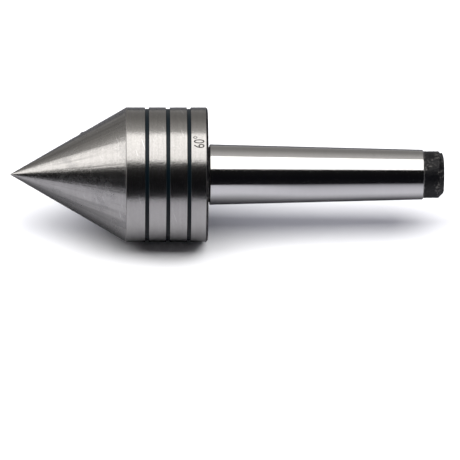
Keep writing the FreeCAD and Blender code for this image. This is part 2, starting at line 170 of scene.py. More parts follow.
class StageSettings(bpy.types.PropertyGroup):
    """Studio floor, light and camera."""

    floor: colour("Floor", "Floor colour", (0.86, 0.86, 0.87))
    floor_mirrored: colour("Floor in steel", "Floor colour that the steel mirrors", (0.60, 0.595, 0.625))
    floor_fade: length("Floor fade", "Distance over which the mirrored floor darkens", 0.293, 2.0)
    floor_shank_share: share("Floor fade at shank", "Share of the floor fade kept beside the shank", 0.37)
    floor_falloff: bpy.props.FloatProperty(
        name="Floor falloff", description="How steeply the mirrored floor darkens", default=1.4, min=0.5
    )
    floor_dim: share("Floor dim", "Share of the mirrored floor's light left right under the object", 0.25)
    floor_dim_shank: length("Dim reach at shank", "Reach of the dim floor beside the shank", 0.022, 1.0)
    floor_dim_head: length("Dim reach at head", "Reach of the dim floor beside the head", 0.034, 1.0)
    floor_front: length("Floor front", "How far the floor reaches in front of the axis", 0.22, 4.0)
    softbox_glow: bpy.props.FloatProperty(
        name="Softbox glow", description="Radiance of the overhead softbox", default=2.1, min=0.0
    )
    softbox_height: length("Softbox height", "Height of the softbox over the axis", 0.8, 3.0)
    softbox_left: length("Softbox left", "How far the softbox reaches past the point's side", 2.6, 6.0)
    softbox_right: length("Softbox right", "How far the softbox reaches past the shank's side", 0.3, 6.0)
    softbox_front: bpy.props.FloatProperty(
        name="Softbox front", description="Height angle of the softbox's front edge, from the front's level",
        default=math.radians(56), subtype="ANGLE", unit="ROTATION",
    )
    softbox_swing: bpy.props.FloatProperty(
        name="Softbox swing", description="How far the softbox's left end is swung to the rear",
        default=math.radians(4.5), subtype="ANGLE", unit="ROTATION",
    )
    softbox_rear: bpy.props.FloatProperty(
        name="Softbox rear", description="Height angle of the softbox's rear edge, from the front's level",
        default=math.radians(108.5), subtype="ANGLE", unit="ROTATION",
    )
    key_glow: bpy.props.FloatProperty(
        name="Key glow", description="Radiance of the light that falls on the floor", default=5.7, min=0.0
    )
    key_left: length("Key left", "How far the key light reaches past the point's side", 1.11, 6.0)
    key_right: length("Key right", "How far the key light reaches past the shank's side", 0.85, 6.0)
    key_front: length("Key front", "How far the key light reaches forwards", 0.517, 6.0)
    key_rear: length("Key rear", "How far the key light reaches backwards", 0.131, 6.0)
    room: share("Room light", "Brightness of the room behind the object", 1.0, 5.0)
    lens: bpy.props.FloatProperty(
        name="Lens", description="Focal length in millimetres", default=400.0, min=20.0, max=1200.0
    )
    distance: length("Camera distance", "Camera to the axis", 1.52, 5.0)
    elevation: bpy.props.FloatProperty(
        name="Camera height", description="Angle of the camera above the floor",
        default=math.radians(35), subtype="ANGLE", unit="ROTATION",
    )


def settings():
    return bpy.context.scene.live_centre


class LiveCentreSettings(bpy.types.PropertyGroup):
    """Everything that a user would change."""

    head: bpy.props.PointerProperty(type=HeadSettings)
    shank: bpy.props.PointerProperty(type=ShankSettings)
    finish: bpy.props.PointerProperty(type=FinishSettings)
    stage: bpy.props.PointerProperty(type=StageSettings)


# ---------------------------------------------------------------- node helpers

def add(tree, kind, inputs=None, **options):
    """Adds a node, sets its options, then links or sets its inputs."""
    node = tree.nodes.new(kind)
    for name, value in options.items():
        setattr(node, name, value)
    for key, value in (inputs or {}).items():
        if isinstance(value, bpy.types.NodeSocket):
            tree.links.new(value, node.inputs[key])
        else:
            node.inputs[key].default_value = value
    return node


def calc(tree, operation, *values, clamp=False):
    """One Math node's result."""
    inputs = dict(enumerate(values))
    return add(tree, "ShaderNodeMath", inputs, operation=operation, use_clamp=clamp).outputs[0]


def combine(tree, x, y, z):
    return add(tree, "ShaderNodeCombineXYZ", {0: x, 1: y, 2: z}).outputs[0]


def step(tree, value, low, high):
    """0 below low, 1 above high, smooth between; falls instead if low is above high."""
    inputs = {"Value": value, "From Min": low, "From Max": high}
    node = add(tree, "ShaderNodeMapRange", inputs, interpolation_type="SMOOTHSTEP")
    return node.outputs["Result"]


def scaled(tree, value, low, high):
    """A 0 to 1 value spread over low to high."""
    inputs = {"Value": value, "To Min": low, "To Max": high}
    return add(tree, "ShaderNodeMapRange", inputs).outputs["Result"]


def blend_colour(tree, factor, first, second):
    node = add(tree, "ShaderNodeMix", {0: factor}, data_type="RGBA")
    for place, value in ((6, first), (7, second)):
        if isinstance(value, bpy.types.NodeSocket):
            tree.links.new(value, node.inputs[place])
        else:
            node.inputs[place].default_value = (*value, 1.0)
    return node.outputs[2]


# ---------------------------------------------------------------- geometry trees

def new_geometry_tree(name, inputs):
    """An empty Geometry Nodes tree with a geometry in and out and the named inputs."""
    tree = bpy.data.node_groups.new(name, "GeometryNodeTree")
    tree.interface.new_socket("Geometry", in_out="INPUT", socket_type="NodeSocketGeometry")
    for label, kind in inputs:
        tree.interface.new_socket(label, in_out="INPUT", socket_type=kind)
    tree.interface.new_socket("Geometry", in_out="OUTPUT", socket_type="NodeSocketGeometry")
    return tree, tree.nodes.new("NodeGroupInput").outputs


def end_tree(tree, geometry, material):
    """Ends the tree in Realize Instances and Set Material."""
    real = add(tree, "GeometryNodeRealizeInstances", {0: geometry})
    painted = add(tree, "GeometryNodeSetMaterial", {"Geometry": real.outputs[0], "Material": material})
    output = tree.nodes.new("NodeGroupOutput")
    tree.links.new(painted.outputs[0], output.inputs[0])


def turning_tree():
    """Turns an outline, given as a row of points (x, 0, radius), into a closed round piece."""
    tree, given = new_geometry_tree("turned_piece", [
        ("Steps Round", "NodeSocketInt"),
        ("Sharp Angle", "NodeSocketFloat"),
        ("Material", "NodeSocketMaterial"),
    ])
    rows = add(tree, "GeometryNodeAttributeDomainSize", {0: given["Geometry"]}, component="MESH")
    around = calc(tree, "ADD", given["Steps Round"], 1.0)
    count = rows.outputs["Point Count"]
    grid = add(tree, "GeometryNodeMeshGrid", {"Vertices X": count, "Vertices Y": around})
    index = tree.nodes.new("GeometryNodeInputIndex").outputs[0]
    row = calc(tree, "FLOOR", calc(tree, "DIVIDE", calc(tree, "ADD", index, 0.5), around))
    turn = calc(tree, "SUBTRACT", index, calc(tree, "MULTIPLY", row, around))
    angle = calc(tree, "MULTIPLY", calc(tree, "DIVIDE", turn, given["Steps Round"]), math.tau)
    position = tree.nodes.new("GeometryNodeInputPosition").outputs[0]
    sample = add(
        tree, "GeometryNodeSampleIndex",
        {"Geometry": given["Geometry"], "Value": position, "Index": row}, data_type="FLOAT_VECTOR",
    )
    place = add(tree, "ShaderNodeSeparateXYZ", {0: sample.outputs[0]}).outputs
    y = calc(tree, "MULTIPLY", place[2], calc(tree, "SINE", angle))
    z = calc(tree, "MULTIPLY", place[2], calc(tree, "COSINE", angle))
    moved = add(
        tree, "GeometryNodeSetPosition",
        {"Geometry": grid.outputs["Mesh"], "Position": combine(tree, place[0], y, z)},
    )
    mapped = add(
        tree, "GeometryNodeStoreNamedAttribute",
        {"Geometry": moved.outputs[0], "Name": "UVMap", "Value": grid.outputs["UV Map"]},
        data_type="FLOAT2", domain="CORNER",
    )
    closed = add(tree, "GeometryNodeMergeByDistance", {"Geometry": mapped.outputs[0], "Distance": 0.0000005})
    bend = tree.nodes.new("GeometryNodeInputMeshEdgeAngle").outputs["Unsigned Angle"]
    sharp = add(
        tree, "GeometryNodeStoreNamedAttribute",
        {
            "Geometry": closed.outputs[0],
            "Name": "sharp_edge",
            "Value": calc(tree, "GREATER_THAN", bend, given["Sharp Angle"]),
        },
        data_type="BOOLEAN", domain="EDGE",
    )
    smooth = add(tree, "GeometryNodeSetShadeSmooth", {"Geometry": sharp.outputs[0]})
    end_tree(tree, smooth.outputs[0], given["Material"])
    return tree


def ring_of_copies_tree():
    """Sets copies of a piece round a pitch circle about the X axis, without turning them."""
    tree, given = new_geometry_tree("ring_of_copies", [
        ("Count", "NodeSocketInt"),
        ("Pitch Radius", "NodeSocketFloat"),
        ("First Angle", "NodeSocketFloat"),
        ("Material", "NodeSocketMaterial"),
    ])
    index = tree.nodes.new("GeometryNodeInputIndex").outputs[0]
    turn = calc(tree, "MULTIPLY", calc(tree, "DIVIDE", index, given["Count"]), math.tau)
    angle = calc(tree, "ADD", turn, given["First Angle"])
    y = calc(tree, "MULTIPLY", given["Pitch Radius"], calc(tree, "SINE", angle))
    z = calc(tree, "MULTIPLY", given["Pitch Radius"], calc(tree, "COSINE", angle))
    points = add(tree, "GeometryNodePoints", {"Count": given["Count"], "Position": combine(tree, 0.0, y, z)})
    copies = add(
        tree, "GeometryNodeInstanceOnPoints",
        {"Points": points.outputs[0], "Instance": given["Geometry"]},
    )
    end_tree(tree, copies.outputs[0], given["Material"])
    return tree


def run_tree(mesh, tree, values, name):
    """Runs a tree on a mesh and returns its plain result, with nothing live left on it."""
    host = bpy.data.objects.new("host", mesh)
    bpy.context.scene.collection.objects.link(host)
    modifier = host.modifiers.new("tree", "NODES")
    modifier.node_group = tree
    for item in tree.interface.items_tree:
        if item.in_out == "INPUT" and item.name in values:
            modifier[item.identifier] = values[item.name]
    graph = bpy.context.evaluated_depsgraph_get()
    result = bpy.data.meshes.new_from_object(host.evaluated_get(graph), depsgraph=graph)
    bpy.data.objects.remove(host)
    result.name = name
    return result


def face_outwards(mesh):
    """Turns a closed mesh right side out."""
    work = bmesh.new()
    work.from_mesh(mesh)
    if work.calc_volume(signed=True) < 0:
        bmesh.ops.reverse_faces(work, faces=work.faces)
    work.to_mesh(mesh)
    work.free()


def turn(outline, material, name, steps=None, sharp=math.radians(40)):
    """A round mesh from an outline of (x, radius) points that starts and ends on the axis or closes."""
    row = bpy.data.meshes.new("outline")
    row.from_pydata([(x, 0.0, radius) for x, radius in outline], [], [])
    values = {
        "Steps Round": steps or settings().head.steps_round,
        "Sharp Angle": sharp,
        "Material": material,
    }
    mesh = run_tree(row, bpy.data.node_groups["turned_piece"], values, name)
    face_outwards(mesh)
    return mesh


def copies(mesh, count, pitch_radius, first_angle, material, name):
    values = {
        "Count": count,
        "Pitch Radius": pitch_radius,
        "First Angle": first_angle,
        "Material": material,
    }
    return run_tree(mesh, bpy.data.node_groups["ring_of_copies"], values, name)


def soften(outline, rounds=4):
    """Rounds each corner of an outline of (x, radius, corner radius) entries.

    A holding point beyond each end of a corner keeps the flats next to it flat in shade.
    """
    points = []
    last = len(outline) - 1
    for place, (x, radius, corner) in enumerate(outline):
        here = Vector((x, radius))
        if corner == 0 or place in (0, last):
            points.append(here)
            continue
        back = Vector(outline[place - 1][:2]) - here
        ahead = Vector(outline[place + 1][:2]) - here
        room = 0.45 * min(back.length, ahead.length)
        half = back.angle(ahead) / 2
        cut = min(corner / math.tan(half), 0.7 * room)
        back.normalize()
        ahead.normalize()
        centre = here + (back + ahead).normalized() * cut / math.cos(half)
        start = here + back * cut - centre
        sweep = math.copysign(math.pi - 2 * half, start.cross(here + ahead * cut - centre))
        hold = min(1.5 * cut, room)
        points.append(here + back * hold)
        for k in range(rounds + 1):
            points.append(centre + Matrix.Rotation(sweep * k / rounds, 2) @ start)
        points.append(here + ahead * hold)
    return [(point[0], point[1]) for point in points]


def spaced(points, low, high, step_length):
    """Adds points to the outline's long runs between two places along the axis."""
    result = [points[0]]
    for before, here in zip(points, points[1:]):
        run = math.dist(before, here)
        if low <= before[0] <= high and low <= here[0] <= high:
            parts = max(1, math.ceil(run / step_length))
        else:
            parts = 1
        for k in range(1, parts + 1):
            t = k / parts
            result.append((before[0] + (here[0] - before[0]) * t, before[1] + (here[1] - before[1]) * t))
    return result


def show(mesh, name, body, slot, *nodes):
    """Puts a finished mesh in the scene: it rides on its body and stands for its frame nodes."""
    piece = bpy.data.objects.new(name, mesh)
    bpy.context.scene.collection.objects.link(piece)
    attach(piece, body)
    if nodes:
        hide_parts(*nodes)
    return piece


def smooth_copy(node, body, slot, material, sharp=math.radians(35)):
    """A merged copy of a frame node, shaded smooth between its sharp edges."""
    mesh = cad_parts[node].data.copy()
    work = bmesh.new()
    work.from_mesh(mesh)
    bmesh.ops.remove_doubles(work, verts=work.verts, dist=0.0000005)
    for face in work.faces:
        face.smooth = True
    for edge in work.edges:
        edge.smooth = len(edge.link_faces) == 2 and edge.calc_face_angle() < sharp
    work.to_mesh(mesh)
    work.free()
    mesh.materials.clear()
    mesh.materials.append(material)
    return show(mesh, node + "_finished", body, slot, node)


def span(node):
    """A round node's first and last place along the axis and its outer radius."""
    low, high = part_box(node)
    return low.x, high.x, high.z


# ---------------------------------------------------------------- finishes

def new_material(name):
    """An empty material with its shader; returns the material, its tree and the shader."""
    material = bpy.data.materials.new(name + "_finish")
    material.use_nodes = True
    tree = material.node_tree
    tree.nodes.clear()
    shader = tree.nodes.new("ShaderNodeBsdfPrincipled")
    output = tree.nodes.new("ShaderNodeOutputMaterial")
    tree.links.new(shader.outputs[0], output.inputs["Surface"])
    return material, tree, shader


def turned_field(tree):
    """Where a point lies on a turned piece, in millimetres: x, radius, run along the outline, turn."""
    place = tree.nodes.new("ShaderNodeTexCoord").outputs["Object"]
    x, y, z = add(tree, "ShaderNodeSeparateXYZ", {0: place}).outputs
    squares = calc(tree, "ADD", calc(tree, "MULTIPLY", y, y), calc(tree, "MULTIPLY", z, z))
    radius = calc(tree, "MAXIMUM", calc(tree, "SQRT", squares), 0.00001)
    field = {
        "place": place,
        "x": calc(tree, "MULTIPLY", x, 1000.0),
        "radius": calc(tree, "MULTIPLY", radius, 1000.0),
        "turn_y": calc(tree, "DIVIDE", y, radius),
        "turn_z": calc(tree, "DIVIDE", z, radius),
    }
    field["along"] = calc(tree, "ADD", field["x"], field["radius"])
    return field


def streaks(tree, field, per_mm, around, start, detail=2.0, rough=0.55):
    """Tool marks that run round the piece: per_mm sets how close, around how soon they fade."""
    along = calc(tree, "MULTIPLY_ADD", field["along"], per_mm, start)
    y = calc(tree, "MULTIPLY", field["turn_y"], around)
    z = calc(tree, "MULTIPLY", field["turn_z"], around)
    inputs = {"Vector": combine(tree, along, y, z), "Scale": 1.0, "Detail": detail, "Roughness": rough}
    return add(tree, "ShaderNodeTexNoise", inputs).outputs[0]


def mottle(tree, field, size_mm, start, detail=3.0, rough=0.5):
    """Cloudy variation with patches of about the given size."""
    away = 0.01 * start
    moved = add(tree, "ShaderNodeVectorMath", {0: field["place"], 1: (away, away, away)})
    inputs = {"Vector": moved.outputs[0], "Scale": 1000.0 / size_mm, "Detail": detail, "Roughness": rough}
    return add(tree, "ShaderNodeTexNoise", inputs).outputs[0]


def specks(tree, field, spacing_mm, size_mm, share_kept, start):
    """Small round spots, one in some of the cells of a loose grid: 1 in a spot, 0 outside."""
    away = 0.01 * start
    moved = add(tree, "ShaderNodeVectorMath", {0: field["place"], 1: (away, away, away)})
    cells = add(
        tree, "ShaderNodeTexVoronoi",
        {"Vector": moved.outputs[0], "Scale": 1000.0 / spacing_mm, "Randomness": 1.0},
    )
    reach = size_mm / spacing_mm
    spot = step(tree, cells.outputs["Distance"], reach, 0.35 * reach)
    chance = add(tree, "ShaderNodeSeparateColor", {0: cells.outputs["Color"]}).outputs[0]
    return calc(tree, "MULTIPLY", spot, calc(tree, "LESS_THAN", chance, share_kept))


def scratches(tree, field, start, lean, closeness, keep):
    """Sparse fine scratches that lean across the tool marks."""
    along = calc(tree, "MULTIPLY", field["x"], 0.9)
    sweep = calc(tree, "ARCTAN2", field["turn_y"], field["turn_z"])
    arc = calc(tree, "MULTIPLY", sweep, 14.0)
    across = calc(tree, "MULTIPLY_ADD", arc, lean, calc(tree, "MULTIPLY", along, closeness))
    down = calc(tree, "MULTIPLY_ADD", along, -lean * 0.12, calc(tree, "MULTIPLY", arc, 0.12))
    inputs = {"Vector": combine(tree, across, down, start), "Scale": 1.0, "Detail": 1.0}
    lines = add(tree, "ShaderNodeTexNoise", inputs).outputs[0]
    return step(tree, lines, keep, keep + 0.05)


def relief(tree, shader, heights):
    """Stacks bumps, each a height from 0 to 1 with its real depth in metres."""
    normal = None
    for height, depth in heights:
        inputs = {"Height": height, "Distance": depth, "Strength": 1.0}
        if normal is not None:
            inputs["Normal"] = normal
        normal = add(tree, "ShaderNodeBump", inputs).outputs[0]
    tree.links.new(normal, shader.inputs["Normal"])


def brush_direction(tree, shader, amount):
    """Spreads the gloss across the tool marks, which run round the piece."""
    shader.inputs["Anisotropic"].default_value = amount
    tangent = add(tree, "ShaderNodeTangent", direction_type="UV_MAP", uv_map="UVMap")
    tree.links.new(tangent.outputs[0], shader.inputs["Tangent"])


def black_skin(tree, field, start):
    """Colour, metal share, gloss, shine and height of dark oxide, rubbed through in places."""
    oxide = settings().finish.black_oxide
    crust = mottle(tree, field, 0.42, start, 4.0, 0.6)
    rubbed = step(tree, mottle(tree, field, 0.7, start + 3.0, 4.0, 0.7), 0.50, 0.62)
    patch = step(tree, mottle(tree, field, 4.0, start + 6.0, 2.0), 0.41, 0.55)
    bare = calc(tree, "MULTIPLY", rubbed, patch)
    skin = blend_colour(tree, crust, [c * 0.6 for c in oxide], [c * 2.2 for c in oxide])
    skin = blend_colour(tree, calc(tree, "MULTIPLY", bare, 0.45), skin, (0.22, 0.21, 0.20))
    return {
        "colour": skin,
        "metal": calc(tree, "MULTIPLY", bare, 0.7),
        "gloss": scaled(tree, crust, 0.24, 0.42),
        "shine": 0.22,
        "crust": crust,
        "rubbed": rubbed,
    }


def point_base():
    """Where the point meets the barrel, in metres along the axis."""
    head = settings().head
    tip_x, _, barrel = span("revolving_head")
    half_angle = head.point_angle / 2
    apex_x = tip_x - head.tip_round / math.sin(half_angle) + head.tip_round
    return apex_x + barrel / math.tan(half_angle)


def ground_head_steel():
    """Ground steel of the head: fine turning lines, pits and scratches, enamel in the grooves."""
    finish = settings().finish
    head = settings().head
    _, high_x, radius = span("revolving_head")
    material, tree, shader = new_material("ground_head_steel")
    field = turned_field(tree)
    fine = streaks(tree, field, 7.0, 3.0, 11.0)
    bands = streaks(tree, field, 1.3, 1.4, 23.0)
    broad = streaks(tree, field, 0.45, 0.8, 29.0, 1.0)
    cloud = mottle(tree, field, 9.0, 3.0)
    grain = mottle(tree, field, 0.55, 6.0, 3.0, 0.6)
    waves = mottle(tree, field, 2.6, 8.0, 2.0)
    pits = specks(tree, field, 1.7, 0.09, 0.16, 5.0)
    scuffs = scratches(tree, field, 4.0, 0.9, 2.2, 0.70)
    knock_dirt_and_shade = add(tree, "ShaderNodeAttribute", attribute_name="knock_dirt_and_shade").outputs["Fac"]

    rear_groove = (high_x - head.groove_inset) / MM
    front_groove = rear_groove - (head.groove_count - 1) * head.groove_pitch / MM
    below = step(tree, field["radius"], radius / MM - 0.05, radius / MM - 0.12)
    behind = step(tree, field["x"], front_groove - 1.2, front_groove - 1.1)
    ahead = step(tree, field["x"], rear_groove + 1.2, rear_groove + 1.1)
    outside = step(tree, field["radius"], radius / MM - 1.6, radius / MM - 1.5)
    paint = calc(tree, "MULTIPLY", below, behind)
    paint = calc(tree, "MULTIPLY", paint, calc(tree, "MULTIPLY", ahead, outside))
    base = point_base() / MM
    on_cone = step(tree, field["x"], base + 0.05, base - 0.05)
    rear = step(tree, field["x"], high_x / MM - 0.68, high_x / MM - 0.60)

    drawn = combine(
        tree, calc(tree, "MULTIPLY", field["along"], 0.02),
        calc(tree, "MULTIPLY", field["turn_y"], 8.0), calc(tree, "MULTIPLY", field["turn_z"], 8.0),
    )
    inputs = {"Vector": drawn, "Scale": 1.0, "Detail": 2.5, "Roughness": 0.5}
    lengthways = add(tree, "ShaderNodeTexNoise", inputs)
    lengthways = calc(tree, "MULTIPLY", lengthways.outputs[0], on_cone)
    handled = combine(
        tree, calc(tree, "MULTIPLY", field["along"], 0.12),
        calc(tree, "MULTIPLY", field["turn_y"], 3.4), calc(tree, "MULTIPLY", field["turn_z"], 3.4),
    )
    inputs = {"Vector": handled, "Scale": 1.0, "Detail": 5.0, "Roughness": 0.7}
    smudge = add(tree, "ShaderNodeTexNoise", inputs)
    smudge = calc(tree, "MULTIPLY", step(tree, smudge.outputs[0], 0.46, 0.74), on_cone)

    wear = finish.wear
    steel = blend_colour(
        tree, calc(tree, "MULTIPLY", bands, 0.6), [c * 1.08 for c in finish.head_steel],
        [c * 0.66 for c in finish.head_steel],
    )
    darker = [c * 0.55 for c in finish.head_steel]
    steel = blend_colour(tree, calc(tree, "MULTIPLY", grain, 0.6), steel, darker)
    drawn_dark = calc(tree, "MULTIPLY", step(tree, lengthways, 0.50, 0.66), on_cone)
    darker = [c * 0.5 for c in finish.head_steel]
    steel = blend_colour(tree, calc(tree, "MULTIPLY", drawn_dark, 0.5), steel, darker)
    steel = blend_colour(tree, calc(tree, "MULTIPLY", smudge, 0.35 * wear), steel, (0.17, 0.17, 0.18))
    pitting = calc(tree, "SUBTRACT", 0.75, calc(tree, "MULTIPLY", on_cone, 0.45))
    pitted = calc(tree, "MULTIPLY", pits, pitting)
    steel = blend_colour(tree, pitted, steel, (0.05, 0.048, 0.045))
    steel = blend_colour(tree, calc(tree, "MULTIPLY", scuffs, 0.3 * wear), steel, (0.75, 0.75, 0.76))
    # Dirt and painted shade darken the knock's hollow.
    steel = blend_colour(tree, knock_dirt_and_shade, steel, (0.012, 0.011, 0.010))
    skin = black_skin(tree, field, 81.0)
    steel = blend_colour(tree, rear, steel, skin["colour"])
    tree.links.new(blend_colour(tree, paint, steel, finish.groove_paint), shader.inputs["Base Color"])
    metal = add(tree, "ShaderNodeMix", {0: rear, 2: 1.0, 3: skin["metal"]}).outputs[0]
    unpainted = calc(tree, "SUBTRACT", 1.0, paint)
    tree.links.new(calc(tree, "MULTIPLY", metal, unpainted), shader.inputs["Metallic"])

    gloss = scaled(tree, bands, 0.17, 0.25)
    gloss = calc(tree, "ADD", gloss, calc(tree, "MULTIPLY", cloud, 0.06))
    gloss = calc(tree, "ADD", gloss, calc(tree, "MULTIPLY", smudge, 0.1))
    gloss = calc(tree, "ADD", gloss, calc(tree, "MULTIPLY", on_cone, -0.005))
    from_base = calc(tree, "ABSOLUTE", calc(tree, "SUBTRACT", field["x"], base))
    worn_edge = step(tree, from_base, 0.2, 0.1)
    gloss = calc(tree, "ADD", gloss, calc(tree, "MULTIPLY", worn_edge, 0.3))
    gloss = calc(tree, "ADD", gloss, calc(tree, "MULTIPLY", pits, 0.25))
    gloss = calc(tree, "ADD", gloss, calc(tree, "MULTIPLY", knock_dirt_and_shade, 0.4))
    gloss = add(tree, "ShaderNodeMix", {0: rear, 2: gloss, 3: skin["gloss"]}).outputs[0]
    gloss = add(tree, "ShaderNodeMix", {0: paint, 2: gloss, 3: 0.35}).outputs[0]
    tree.links.new(gloss, shader.inputs["Roughness"])
    shine = add(tree, "ShaderNodeMix", {0: paint, 2: 0.5, 3: 0.15}).outputs[0]
    shine = add(tree, "ShaderNodeMix", {0: rear, 2: shine, 3: skin["shine"]}).outputs[0]
    tree.links.new(shine, shader.inputs["Specular IOR Level"])
    brush_direction(tree, shader, 0.5)
    relief(tree, shader, [
        (bands, 0.0000016),
        (broad, 0.000004),
        (fine, 0.0000010),
        (grain, 0.000018),
        (waves, 0.000026),
        (calc(tree, "MULTIPLY", lengthways, calc(tree, "DIVIDE", field["radius"], radius / MM)), 0.00009),
        (pits, -0.00002),
        (scuffs, -0.000006),
    ])
    return material


def polished_shank_steel():
    """Fine ground taper and spindle, with the dark unground tail end and painted shade in the relief at its
    root.
    """
    finish = settings().finish
    shank = settings().shank
    material, tree, shader = new_material("polished_shank_steel")
    field = turned_field(tree)
    fine = streaks(tree, field, 9.0, 4.0, 31.0)
    bands = streaks(tree, field, 0.9, 1.2, 41.0)
    cloud = mottle(tree, field, 6.0, 7.0)
    waves = mottle(tree, field, 3.4, 10.0, 2.0)
    grain = mottle(tree, field, 0.5, 14.0, 3.0, 0.6)
    scuffs = scratches(tree, field, 9.0, 0.5, 1.6, 0.72)
    pits = specks(tree, field, 2.3, 0.07, 0.12, 9.0)

    ragged = calc(tree, "MULTIPLY", mottle(tree, field, 1.6, 2.0), 0.7)
    edge = calc(tree, "ADD", field["x"], ragged)
    end = shank.taper_rear / MM
    root = -shank.taper_front / MM
    tail = step(tree, edge, end + 0.22, end + 0.34)
    # Painted shade: the band in the relief at the shank's root, right behind the head, gets the dark oxide
    # skin to stand for the shade between head and shank.
    painted_root_shade = step(tree, field["x"], root + 0.06, root + 0.01)
    collar = step(tree, field["x"], root - 2.0, root - 1.8)
    dark = calc(tree, "MAXIMUM", tail, calc(tree, "MULTIPLY", painted_root_shade, collar))

    steel = blend_colour(
        tree, calc(tree, "MULTIPLY", bands, 0.4), finish.shank_steel, [c * 0.8 for c in finish.shank_steel]
    )
    darker = [c * 0.7 for c in finish.shank_steel]
    steel = blend_colour(tree, calc(tree, "MULTIPLY", grain, 0.25), steel, darker)
    steel = blend_colour(tree, calc(tree, "MULTIPLY", pits, 0.7), steel, (0.06, 0.055, 0.05))
    skin = black_skin(tree, field, 12.0)
    tree.links.new(blend_colour(tree, dark, steel, skin["colour"]), shader.inputs["Base Color"])
    metal = add(tree, "ShaderNodeMix", {0: dark, 2: 1.0, 3: skin["metal"]}).outputs[0]
    tree.links.new(metal, shader.inputs["Metallic"])
    shine = add(tree, "ShaderNodeMix", {0: dark, 2: 0.5, 3: skin["shine"]}).outputs[0]
    tree.links.new(shine, shader.inputs["Specular IOR Level"])
    gloss = scaled(tree, bands, 0.075, 0.11)
    gloss = calc(tree, "ADD", gloss, calc(tree, "MULTIPLY", cloud, 0.05))
    gloss = add(tree, "ShaderNodeMix", {0: dark, 2: gloss, 3: skin["gloss"]}).outputs[0]
    tree.links.new(gloss, shader.inputs["Roughness"])
    brush_direction(tree, shader, 0.35)
    relief(tree, shader, [
        (bands, 0.0000010),
        (fine, 0.0000006),
        (grain, 0.000002),
        (waves, 0.000009),
        (scuffs, -0.000002),
        (calc(tree, "MULTIPLY", dark, skin["crust"]), 0.00014),
        (calc(tree, "MULTIPLY", dark, skin["rubbed"]), -0.00002),
    ])
    return material


def black_oxide_steel():
    """Turned, blackened steel of the rear cover, rubbed bright at its rims."""
    finish = settings().finish
    _, high_x, radius = span("rear_cover")
    material, tree, shader = new_material("black_oxide_steel")
    field = turned_field(tree)
    fine = streaks(tree, field, 6.0, 3.0, 51.0)
    bands = streaks(tree, field, 1.2, 1.5, 57.0)
    cloud = mottle(tree, field, 5.0, 21.0)
    rim = step(tree, field["radius"], radius / MM - 0.55, radius / MM - 0.15)
    rear = step(tree, field["x"], high_x / MM - 0.5, high_x / MM - 0.1)
    rubbed = step(tree, mottle(tree, field, 1.4, 27.0, 4.0, 0.65), 0.42, 0.60)
    worn = calc(tree, "MULTIPLY", calc(tree, "MULTIPLY", rim, rear), rubbed)
    deep = [c * 1.1 for c in finish.black_oxide]
    light = [c * 3.2 for c in finish.black_oxide]
    colours = blend_colour(tree, cloud, deep, light)
    colours = blend_colour(tree, calc(tree, "MULTIPLY", worn, 0.8), colours, (0.30, 0.29, 0.28))
    tree.links.new(colours, shader.inputs["Base Color"])
    shader.inputs["Metallic"].default_value = 0.75
    gloss = calc(tree, "ADD", scaled(tree, bands, 0.28, 0.42), calc(tree, "MULTIPLY", cloud, 0.08))
    tree.links.new(gloss, shader.inputs["Roughness"])
    relief(tree, shader, [(bands, 0.000004), (fine, 0.000002)])
    return material


def bearing_ring_steel():
    """Ground rings and washers of the bearings, with polished tracks."""
    finish = settings().finish
    material, tree, shader = new_material("bearing_ring_steel")
    field = turned_field(tree)
    fine = streaks(tree, field, 10.0, 4.0, 61.0)
    cloud = mottle(tree, field, 4.0, 33.0)
    darker = [c * 0.82 for c in finish.bearing_steel]
    colours = blend_colour(tree, calc(tree, "MULTIPLY", fine, 0.5), finish.bearing_steel, darker)
    tree.links.new(colours, shader.inputs["Base Color"])
    shader.inputs["Metallic"].default_value = 1.0
    tree.links.new(calc(tree, "MULTIPLY_ADD", cloud, 0.1, 0.14), shader.inputs["Roughness"])
    relief(tree, shader, [(fine, 0.0000015)])
    return material


def bearing_ball_steel():
    """Polished balls and needles under a thin film of grease."""
    finish = settings().finish
    material, tree, shader = new_material("bearing_ball_steel")
    field = turned_field(tree)
    film = mottle(tree, field, 1.5, 39.0)
    light = [min(1.0, c * 1.2) for c in finish.bearing_steel]
    darker = [c * 1.02 for c in finish.bearing_steel]
    colours = blend_colour(tree, film, light, darker)
    tree.links.new(colours, shader.inputs["Base Color"])
    shader.inputs["Metallic"].default_value = 1.0
    tree.links.new(calc(tree, "MULTIPLY_ADD", film, 0.08, 0.03), shader.inputs["Roughness"])
    shader.inputs["Coat Weight"].default_value = 0.2
    shader.inputs["Coat Roughness"].default_value = 0.15
    relief(tree, shader, [(film, 0.000002)])
    return material


def sheet_finish(name, lighter, grain_mm, roughness):
    """Pressed sheet steel with tumbled grain, for the cages, shields and needle cup."""
    finish = settings().finish
    material, tree, shader = new_material(name)
    field = turned_field(tree)
    grain = mottle(tree, field, grain_mm, 43.0, 4.0, 0.6)
    cloud = mottle(tree, field, 3.5, 47.0)
    bright = [min(1.0, c * lighter) for c in finish.sheet_steel]
    colours = blend_colour(tree, cloud, bright, [c * 0.78 for c in bright])
    colours = blend_colour(tree, calc(tree, "MULTIPLY", grain, 0.35), colours, [c * 0.6 for c in bright])
    tree.links.new(colours, shader.inputs["Base Color"])
    shader.inputs["Metallic"].default_value = 1.0
    tree.links.new(calc(tree, "MULTIPLY_ADD", grain, 0.18, roughness), shader.inputs["Roughness"])
    relief(tree, shader, [(grain, 0.00001)])
    return material


